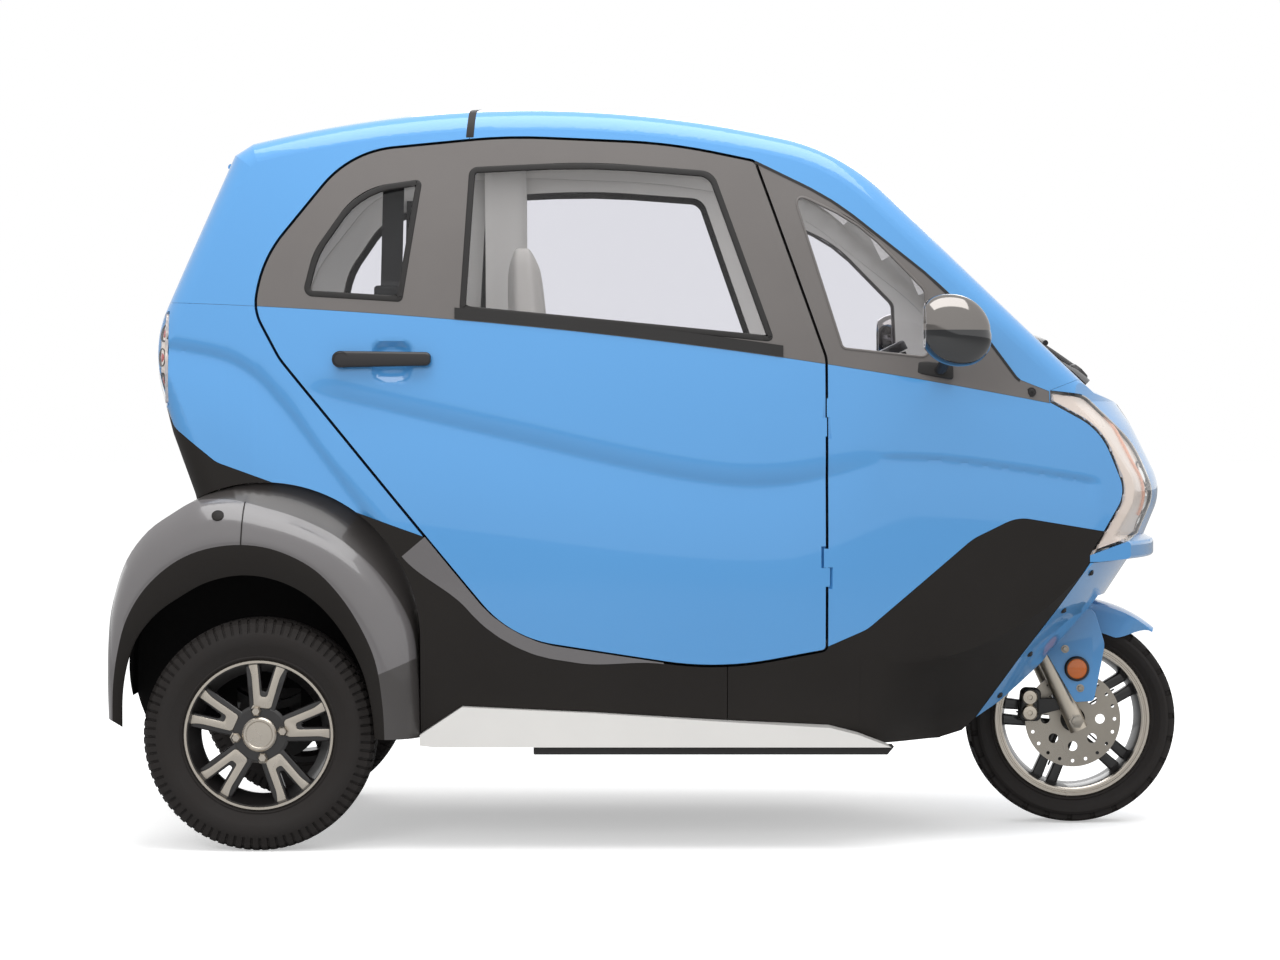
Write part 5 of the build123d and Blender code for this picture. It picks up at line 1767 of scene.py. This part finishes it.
@dataclass
class Seats:
    """Padded driver's seat and rear bench, and the belts."""

    shop: Workshop
    pressure: float = 4.0
    frames: int = 20
    most_swell: float = 9.0
    draw_in: float = 7.0
    corner_power: float = 5.0
    channel_width: float = 0.05
    fill: float = 0.75
    # Belts: place, distance from the centre plane, foot, height, width, height of the reels
    belt_x: float = -596.0
    belt_y: float = 372.0
    belt_low: float = 700.0
    belt_rise: float = 742.0
    belt_width: float = 46.0
    reel_z: float = 1180.0

    def swell(self, bm: BMesh) -> None:
        """Blow a pad up from inside by a cloth simulation, with a limit on how far each point moves.

        Args:
            bm: closed pad in millimetres, which is changed.
        """
        mesh = bpy.data.meshes.new("pad")
        bm.to_mesh(mesh)
        mesh.transform(Matrix.Scale(MM, 4))
        obj = linked("pad", mesh)
        scene = bpy.context.scene
        cloth = obj.modifiers.new("cloth", "CLOTH")
        cloth.settings.use_pressure = True
        cloth.settings.uniform_pressure_force = self.pressure
        cloth.settings.effector_weights.gravity = 0.0
        for frame in range(1, self.frames + 1):
            scene.frame_set(frame)
        blown = evaluated(obj)
        for vert, moved in zip(bm.verts, blown.vertices):
            step = moved.co / MM - vert.co
            vert.co += step * min(1.0, self.most_swell / max(step.length, MM))
        bpy.data.objects.remove(obj)
        bpy.data.meshes.remove(mesh)
        bpy.data.meshes.remove(blown)
        scene.frame_set(1)

    def pad(self, cuts: int, put: Callable[[float, float, float], Vector],
            sewn: Callable[[float, float, float], Vector]) -> BMesh:
        """Soft block whose corners are rounded, shaped by a function, swollen and then sewn.

        Args:
            cuts: divisions of each side.
            put: gives the place of a point of the block, whose sides run from -1 to 1.
            sewn: gives how far the sewn channels pull that point in.

        Returns:
            A new closed mesh.
        """
        bm = bmesh.new()
        bmesh.ops.create_cube(bm, size=2.0)
        bmesh.ops.subdivide_edges(bm, edges=bm.edges[:], cuts=cuts, use_grid_fill=True)
        block = []
        for vert in bm.verts:
            size = max(abs(c) for c in vert.co)
            norm = sum(abs(c) ** self.corner_power for c in vert.co) ** (1 / self.corner_power)
            block.append(vert.co * (size / norm))
            vert.co = put(*block[-1])
        outward(bm)
        self.swell(bm)
        for vert, spot in zip(bm.verts, block):
            vert.co += sewn(*spot)
        return outward(bm)

    def channels(self, v: float, middle: float, depth: float) -> float:
        """Depth of two sewn channels at a place across a pad."""
        return depth * sum(math.exp(-((v - c) / self.channel_width) ** 2) for c in (-middle, middle))

    def cushion(self, x: float, z: float, deep: float, wide: float, thick: float) -> BMesh:
        """Seat cushion with a crown and two sewn channels.

        Args:
            x: place of its middle.
            z: height of its middle.
            deep: length from front to back.
            wide: width.
            thick: thickness.

        Returns:
            A new closed mesh.
        """
        inset = self.most_swell - 1

        def put(u: float, v: float, w: float) -> Vector:
            """Place of a point of the block, u to the front, v to the left and w up."""
            crown = 8 * (1 - u * u) * (1 - v * v) if w > 0 else 0.0
            return Vector((x + u * (deep / 2 + self.draw_in), v * (wide / 2 + self.draw_in),
                           z - 4 + w * (thick / 2 - inset) + crown))

        def sewn(u: float, v: float, w: float) -> Vector:
            """Pull of the channels on the upper side."""
            return Vector((0, 0, -self.channels(v, 0.55, 9) if w > 0.5 else 0.0))
        return self.pad(30, put, sewn)

    def back(self, x: float, lean: float, low: float, high: float, wide: float, thick: float) -> BMesh:
        """Backrest that leans, with rounded top corners and sewn channels.

        Args:
            x: place of its foot.
            lean: how far its top lies behind its foot.
            low: height of its foot.
            high: height of its top.
            wide: width.
            thick: thickness.

        Returns:
            A new closed mesh.
        """
        inset = self.most_swell - 1

        def put(u: float, v: float, w: float) -> Vector:
            """Place of a point of the block, u to the front, v to the left and w up."""
            t = (w + 1) / 2
            narrow = 1 - 0.32 * ease((t - 0.62) / 0.38)
            bulge = 6 * (1 - v * v) * (1 - t) if u > 0 else 0.0
            return Vector((x - lean * t + u * (thick * (0.5 - 0.12 * t) - inset) + bulge,
                           v * (wide / 2 * narrow + self.draw_in),
                           (low + high) / 2 + w * ((high - low) / 2 + self.draw_in)))

        def sewn(u: float, v: float, w: float) -> Vector:
            """Pull of the channels on the front side."""
            return Vector((-self.channels(v, 0.5, 8) if u > 0.5 else 0.0, 0, 0))
        return self.pad(30, put, sewn)

    def build(self) -> None:
        """Make the padded pieces and the belts."""
        pads = self.cushion(x=20, z=547, deep=395, wide=445, thick=82)
        gather(pads, self.cushion(x=-578, z=562, deep=395, wide=445, thick=82))
        obj = self.shop.piece("seat_pads", pads, "chassis", "seat", [VINYL], ["seat_cushions"], 60.0)
        rests = self.back(x=-258, lean=52, low=520, high=1306, wide=376, thick=100)
        gather(rests, self.back(x=-830, lean=40, low=530, high=1048, wide=590, thick=86))
        obj = self.shop.piece("seat_rests", rests, "chassis", "seat", [VINYL], ["seat_backs"], 60.0)
        belt = bmesh.new()
        for y in (-self.belt_y, self.belt_y):
            def put(u: float, v: float, y: float = y) -> Vector:
                """Place of (u, v), u across the belt and v up."""
                x = self.belt_x + (u - 0.5) * self.belt_width + v * 18
                return Vector((x, y, self.belt_low + v * self.belt_rise))
            gather(belt, patch(2, 24, put, (0, 2, 0)))
            reel = raised(oblong(34, 26, 8), 40, 6)
            gather(belt, on_right(reel, (self.belt_x + 10, y + 20, self.reel_z)))
        self.shop.piece("seat_belts", belt, "chassis", "trim", [WEBBING])


@dataclass
class Fittings:
    """Roof strip, cowl, wiper, nose insert, number plate, hatch handle and rear reflectors."""

    shop: Workshop
    seam_x: float = -394.5
    seam_lean: float = 17 / 184
    seam_top: float = 1700.0
    # Roof strip: width, angles over the roof and the height that they are measured about
    strip_width: float = 16.0
    strip_from_deg: float = 32.5
    strip_sweep_deg: float = 115.0
    strip_hub_z: float = 1250.0
    # Nose insert and cowl strip: lower edge, height, width; the insert's gain in width to its top
    insert: tuple[float, float, float, float] = (800.0, 150.0, 70.0, 60.0)
    cowl: Corner = (992.0, 56.0, 560.0)
    # Belt pillar: rear edge, width, foot, height, distance inside the skin, thickness
    pillar_x: float = -412.0
    pillar_width: float = 100.0
    pillar_low: float = 278.0
    pillar_rise: float = 1237.0
    pillar_inside: float = 58.0
    pillar_thick: float = 26.0
    plate_half: Point = (130.0, 58.0)
    holder_rim: float = 8.0
    plate_z: float = 1040.0
    mark_at: Point = (250.0, 720.0)
    hatch_grip_z: float = 1199.0
    # Hatch window: height of its middle, how far outside it the panel is sounded, slope of the panel
    window_z: float = 1327.0
    sound_out: Point = (1.08, 1.14)
    hatch_slope: float = 0.565

    def roof_strip(self) -> BMesh:
        """Rubber strip over the joint of the two roof panels.

        Returns:
            A new closed mesh.
        """
        roof = self.shop.surface("front_roof", "rear_roof")

        def put(u: float, v: float) -> Vector:
            """Place of (u, v), u across the strip and v over the roof."""
            angle = math.radians(self.strip_from_deg + v * self.strip_sweep_deg)
            out = Vector((0, math.cos(angle), math.sin(angle)))
            place = Vector((self.seam_x, 0, self.strip_hub_z)) - out * BESIDE
            for _ in range(2):
                hit = roof.ray_cast(place, -out)
                height = hit[0].z if hit[0] is not None else 1600
                lean = (self.seam_top - height) * self.seam_lean
                place.x = self.seam_x - lean + (u - 0.5) * self.strip_width
            return hit[0] + hit[1] * 0.8
        return patch(1, 80, put, (0, 0, -4))

    def nose_insert(self) -> BMesh:
        """Dark insert down the middle of the bonnet.

        Returns:
            A new closed mesh.
        """
        nose = self.shop.surface("nose_panel", "front_roof")

        def put(u: float, v: float) -> Vector:
            """Place of (u, v), u across the insert and v up."""
            low, high, wide, more = self.insert
            z = low + v * high
            y = (u - 0.5) * (wide + more * v)
            hit = nose.ray_cast(Vector((AHEAD, y, z)), Vector((-1, 0, 0)))
            spot = hit[0] if hit[0] is not None else Vector((1040, y, z))
            return spot + Vector((1.2, 0, 0.8))
        return patch(10, 24, put, (-4, 0, 0))

    def wiper(self) -> BMesh:
        """Wiper arm and blade resting on the windscreen, and the cowl strip under it.

        Returns:
            A new mesh.
        """
        screen = self.shop.surface("windscreen", "front_roof", "nose_panel")

        def on_screen(y: float, z: float, off: float) -> Vector:
            """Place at some distance from the windscreen."""
            hit = screen.ray_cast(Vector((AHEAD, y, z)), Vector((-1, 0, 0)))
            spot = hit[0] if hit[0] is not None else Vector((900, y, z))
            return spot + Vector((0.7, 0, 0.7)) * off
        bm = rod([on_screen(-120 + k * 20, 1078 + k * 2.4, 15) for k in range(24)], 6.5, 10)
        gather(bm, rod([on_screen(-60 + k * 16, 1008 + k * 7.5, 24) for k in range(13)], 7.5, 10))
        cap = turned(((0, 0), (26, 0), (26, 16), (20, 24), (0, 27)), 32)
        gather(bm, placed(cap, on_screen(-60, 1008, 4), (0, 1, 0), (0.69, 0, 0.72)))

        def put(u: float, v: float) -> Vector:
            """Place of (u, v) on the cowl strip, u to the left and v up."""
            low, high, wide = self.cowl
            crown = (1 - (2 * u - 1) ** 4) * (1 - v * v)
            return on_screen((u - 0.5) * wide, low + v * high, 3 + 17 * crown)
        gather(bm, patch(40, 10, put, (-5, 0, -5)))
        return bm

    def pillar(self) -> BMesh:
        """Trim pillar inside the left door opening, from the floor to the roof.

        Returns:
            A new closed mesh.
        """
        def put(u: float, v: float) -> Vector:
            """Place of (u, v), u to the front and v up."""
            x = self.pillar_x + u * self.pillar_width
            z = self.pillar_low + v * self.pillar_rise
            return Vector((x, flank(x, z) - self.pillar_inside - 10 * (2 * u - 1) ** 6, z))
        return patch(12, 40, put, (0, -self.pillar_thick, 0))

    def plate(self) -> BMesh:
        """Blank number plate in its holder under the tail.

        Returns:
            A new mesh: plate as finish 0, holder 1.
        """
        wide, high = self.plate_half
        bm = raised(oblong(wide, high, 8), 5, 1.5)
        gather(bm, raised(oblong(wide + self.holder_rim, high + self.holder_rim, 10), 3, 1), 1)
        return bm

    def tail(self) -> None:
        """Number plate, rear reflectors and the hatch handle."""
        rear = self.shop.surface("rear_quarters", "rear_apron")

        def behind(y: float, z: float) -> tuple[Vector, Vector]:
            """Place on the tail and the direction out of it."""
            hit, normal = rear.ray_cast(Vector((BEHIND, y, z)), Vector((1, 0, 0)))[:2]
            return hit, normal if normal.x < 0 else -normal

        hit, out = behind(0, self.plate_z)
        plate = placed(self.plate(), hit + out * 4, (0, -1, 0), out)
        self.shop.piece("number_plate", plate, "chassis", "trim", [SKIRT, DARK])
        marks = bmesh.new()
        for way in (-1, 1):
            hit, out = behind(way * self.mark_at[0], self.mark_at[1])
            mark = turned(((0, -2), (28, -2), (28, 5), (25, 7), (0, 8)), 36)
            gather(marks, placed(mark, hit, (0, 1, 0), out))
        self.shop.piece("rear_reflectors", marks, "chassis", "red_lamp", [RED])
        panel = self.shop.surface("hatch_panel")
        hit, out = panel.ray_cast(Vector((BEHIND, 0, self.hatch_grip_z)), Vector((1, 0, 0)))[:2]
        grip = placed(raised(oblong(70, 9, 8), 9, 3), hit, (0, 1, 0), out)
        self.shop.piece("hatch_handle", grip, "hatch", "dark_plastic", [DARK])

    def hatch_seal(self) -> BMesh:
        """Rubber seal round the hatch window.

        Returns:
            A new closed mesh.
        """
        back = self.shop.surface("hatch_panel")
        outline = ((-322, 1213, 40), (322, 1213, 40), (294, 1442, 40), (-294, 1442, 40))
        bm = divided(raised(outline, 12, 2, 14), 45)
        for vert in bm.verts:
            y, z, out = vert.co
            outer_y = y * self.sound_out[0] if abs(y) > 1 else 0.0
            outer_z = self.window_z + (z - self.window_z) * self.sound_out[1]
            hit = back.ray_cast(Vector((BEHIND, outer_y, outer_z)), Vector((1, 0, 0)))[0]
            lean = (z - outer_z) * self.hatch_slope
            vert.co = ((hit.x if hit is not None else -1010) + lean + 8 - out, y, z)
        return outward(bm)

    def build(self) -> None:
        """Make the fittings."""
        for name, bm, finish in (("roof_strip", self.roof_strip(), RUBBER),
                                 ("nose_insert", self.nose_insert(), DARK), ("wiper", self.wiper(), DARK)):
            self.shop.piece(name, bm, "chassis", "dark_plastic", [finish])
        self.shop.piece("belt_pillar", self.pillar(), "chassis", "trim", [TRIM])
        self.shop.piece("hatch_seal", self.hatch_seal(), "hatch", "dark_plastic", [RUBBER])
        self.tail()


@dataclass
class Studio:
    """Floor, soft light and the camera at the photograph's angle."""

    frame_px: tuple[float, float] = (1280.0, 960.0)
    focal_px: float = 3113.0
    axis_px: tuple[float, float] = (620.0, 420.0)
    eye: tuple[float, float, float] = (-0.088, -7.12, 0.915)
    sensor_mm: float = 36.0
    sky: float = 0.78
    floor_lift: float = 0.42
    floor_bounce: float = 0.42
    floor_mirrored: float = 0.5
    floor_pale: float = 0.86
    floor_radius: float = 60.0
    # name, place, aim, width and height, watts, whether reflections show it
    lamps = (
        ("overhead", (0.2, -1.2, 4.6), (0, 0, 0.6), (5.0, 3.4), 165, True),
        ("side", (-1.5, -5.2, 2.6), (0, 0, 0.8), (2.6, 1.4), 68, False),
        ("back", (0.5, 4.5, 3.2), (0, 0, 0.8), (3.0, 1.6), 50, True),
        ("cabin", (-0.15, 0.0, 1.5), (-0.15, 0, 0.4), (0.9, 0.5), 2.5, False),
        ("cabin_side", (-0.1, -0.37, 1.25), (-0.1, 0.4, 1.2), (1.1, 0.45), 1.2, False),
    )

    def camera(self) -> None:
        """Level camera that looks along +Y, shifted as the photograph is framed."""
        data = bpy.data.cameras.new("camera")
        data.sensor_width = self.sensor_mm
        data.lens = self.sensor_mm * self.focal_px / self.frame_px[0]
        data.shift_x = (self.frame_px[0] / 2 - self.axis_px[0]) / self.frame_px[0]
        data.shift_y = (self.axis_px[1] - self.frame_px[1] / 2) / self.frame_px[0]
        obj = linked("camera", data)
        obj.location = self.eye
        obj.rotation_euler = (math.pi / 2, 0, 0)
        bpy.context.scene.camera = obj

    def world(self) -> None:
        """Even sky that looks white to the camera and in reflections."""
        world = bpy.data.worlds.new("studio")
        bpy.context.scene.world = world
        world.use_nodes = True
        tree = world.node_tree
        tree.nodes.clear()
        path = add_node(tree, "ShaderNodeLightPath")
        seen = path.outputs["Is Camera Ray"]
        for kind in ("Is Glossy Ray", "Is Transmission Ray"):
            seen = add_node(tree, "ShaderNodeMath", operation="MAXIMUM",
                            links={0: seen, 1: path.outputs[kind]}).outputs[0]
        light = add_node(tree, "ShaderNodeBackground", inputs={"Color": (1, 1, 1, 1), "Strength": self.sky})
        white = add_node(tree, "ShaderNodeBackground", inputs={"Color": (1, 1, 1, 1), "Strength": 1.0})
        mix = add_node(tree, "ShaderNodeMixShader", links={0: seen, 1: light.outputs[0], 2: white.outputs[0]})
        add_node(tree, "ShaderNodeOutputWorld", links={"Surface": mix.outputs[0]})

    def lamp(self, name: str, spot: Sequence[float], target: Sequence[float], size: tuple[float, float],
             watts: float, mirrored_in_paint: bool) -> None:
        """Soft box aimed at a point.

        Args:
            name: lamp name.
            spot: place of the lamp.
            target: point that it faces.
            size: width and height.
            watts: power.
            mirrored_in_paint: whether reflections show it.
        """
        data = bpy.data.lights.new(name, "AREA")
        data.shape = "RECTANGLE"
        data.size, data.size_y = size
        data.energy = watts
        obj = linked(name, data)
        obj.location = spot
        obj.rotation_euler = (Vector(target) - Vector(spot)).to_track_quat("-Z", "Y").to_euler()
        obj.visible_camera = False
        obj.visible_glossy = mirrored_in_paint

    def floor_material(self) -> bpy.types.Material:
        """Pale floor that looks white to the camera and throws little light back.

        Returns:
            The floor's material.
        """
        made = bpy.data.materials.new("pale_studio_floor")
        made.use_nodes = True
        tree = made.node_tree
        tree.nodes.clear()
        path = add_node(tree, "ShaderNodeLightPath")
        seen = path.outputs["Is Camera Ray"]
        shown = add_node(tree, "ShaderNodeMath", operation="MAXIMUM",
                         links={0: path.outputs["Is Glossy Ray"], 1: path.outputs["Is Transmission Ray"]})
        greys = (self.floor_bounce, self.floor_mirrored, self.floor_pale)
        dull, reflected, pale = [
            add_node(tree, "ShaderNodeBsdfDiffuse", inputs={"Color": (grey, grey, grey, 1.0)})
            for grey in greys]
        lift = add_node(tree, "ShaderNodeEmission", inputs={"Strength": self.floor_lift})
        base = add_node(tree, "ShaderNodeMixShader",
                        links={0: shown.outputs[0], 1: dull.outputs[0], 2: reflected.outputs[0]})
        bright = add_node(tree, "ShaderNodeAddShader", links={0: pale.outputs[0], 1: lift.outputs[0]})
        mix = add_node(tree, "ShaderNodeMixShader", links={0: seen, 1: base.outputs[0], 2: bright.outputs[0]})
        add_node(tree, "ShaderNodeOutputMaterial", links={"Surface": mix.outputs[0]})
        return made

    def floor(self) -> None:
        """Pale round floor under the wheels."""
        bm = bmesh.new()
        bmesh.ops.create_circle(bm, cap_ends=True, segments=96, radius=self.floor_radius)
        mesh = bpy.data.meshes.new("floor")
        bm.to_mesh(mesh)
        bm.free()
        mesh.materials.append(self.floor_material())
        linked("floor", mesh)

    def build(self) -> None:
        """Set up the whole studio."""
        bpy.context.scene.view_settings.view_transform = "Standard"
        self.camera()
        self.world()
        for lamp in self.lamps:
            self.lamp(*lamp)
        self.floor()


def main() -> None:
    """Build every sub-assembly in order."""
    logging.basicConfig(level=logging.INFO, format="%(name)s: %(message)s")
    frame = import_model()
    shop = Workshop(frame, {})
    shop.dress()
    PressedPanels(shop).build()
    SideTrim(shop).build()
    for name, side in SIDES:
        Wheel(shop, f"rear_{name}", f"rear_wheel_{name}", x=REAR_AXLE_X, y=465.0, radius=247.0, half=68.0,
              lip=160.0, rim_half=59.0, forked=True, side=side).build()
    Wheel(shop, "front", "front_wheel", x=FRONT_AXLE[0], y=0.0, radius=FRONT_AXLE[1], half=60.0, lip=178.0,
          rim_half=50.0, forked=False, start_deg=31.0).build()
    RearFender(shop).build()
    FrontEnd(shop).build()
    Mirrors(shop).build()
    Lamps(shop).build()
    Seats(shop).build()
    Fittings(shop).build()
    Studio().build()
    LOG.info("%d pieces", shop.count)


if __name__ == "__main__":
    main()
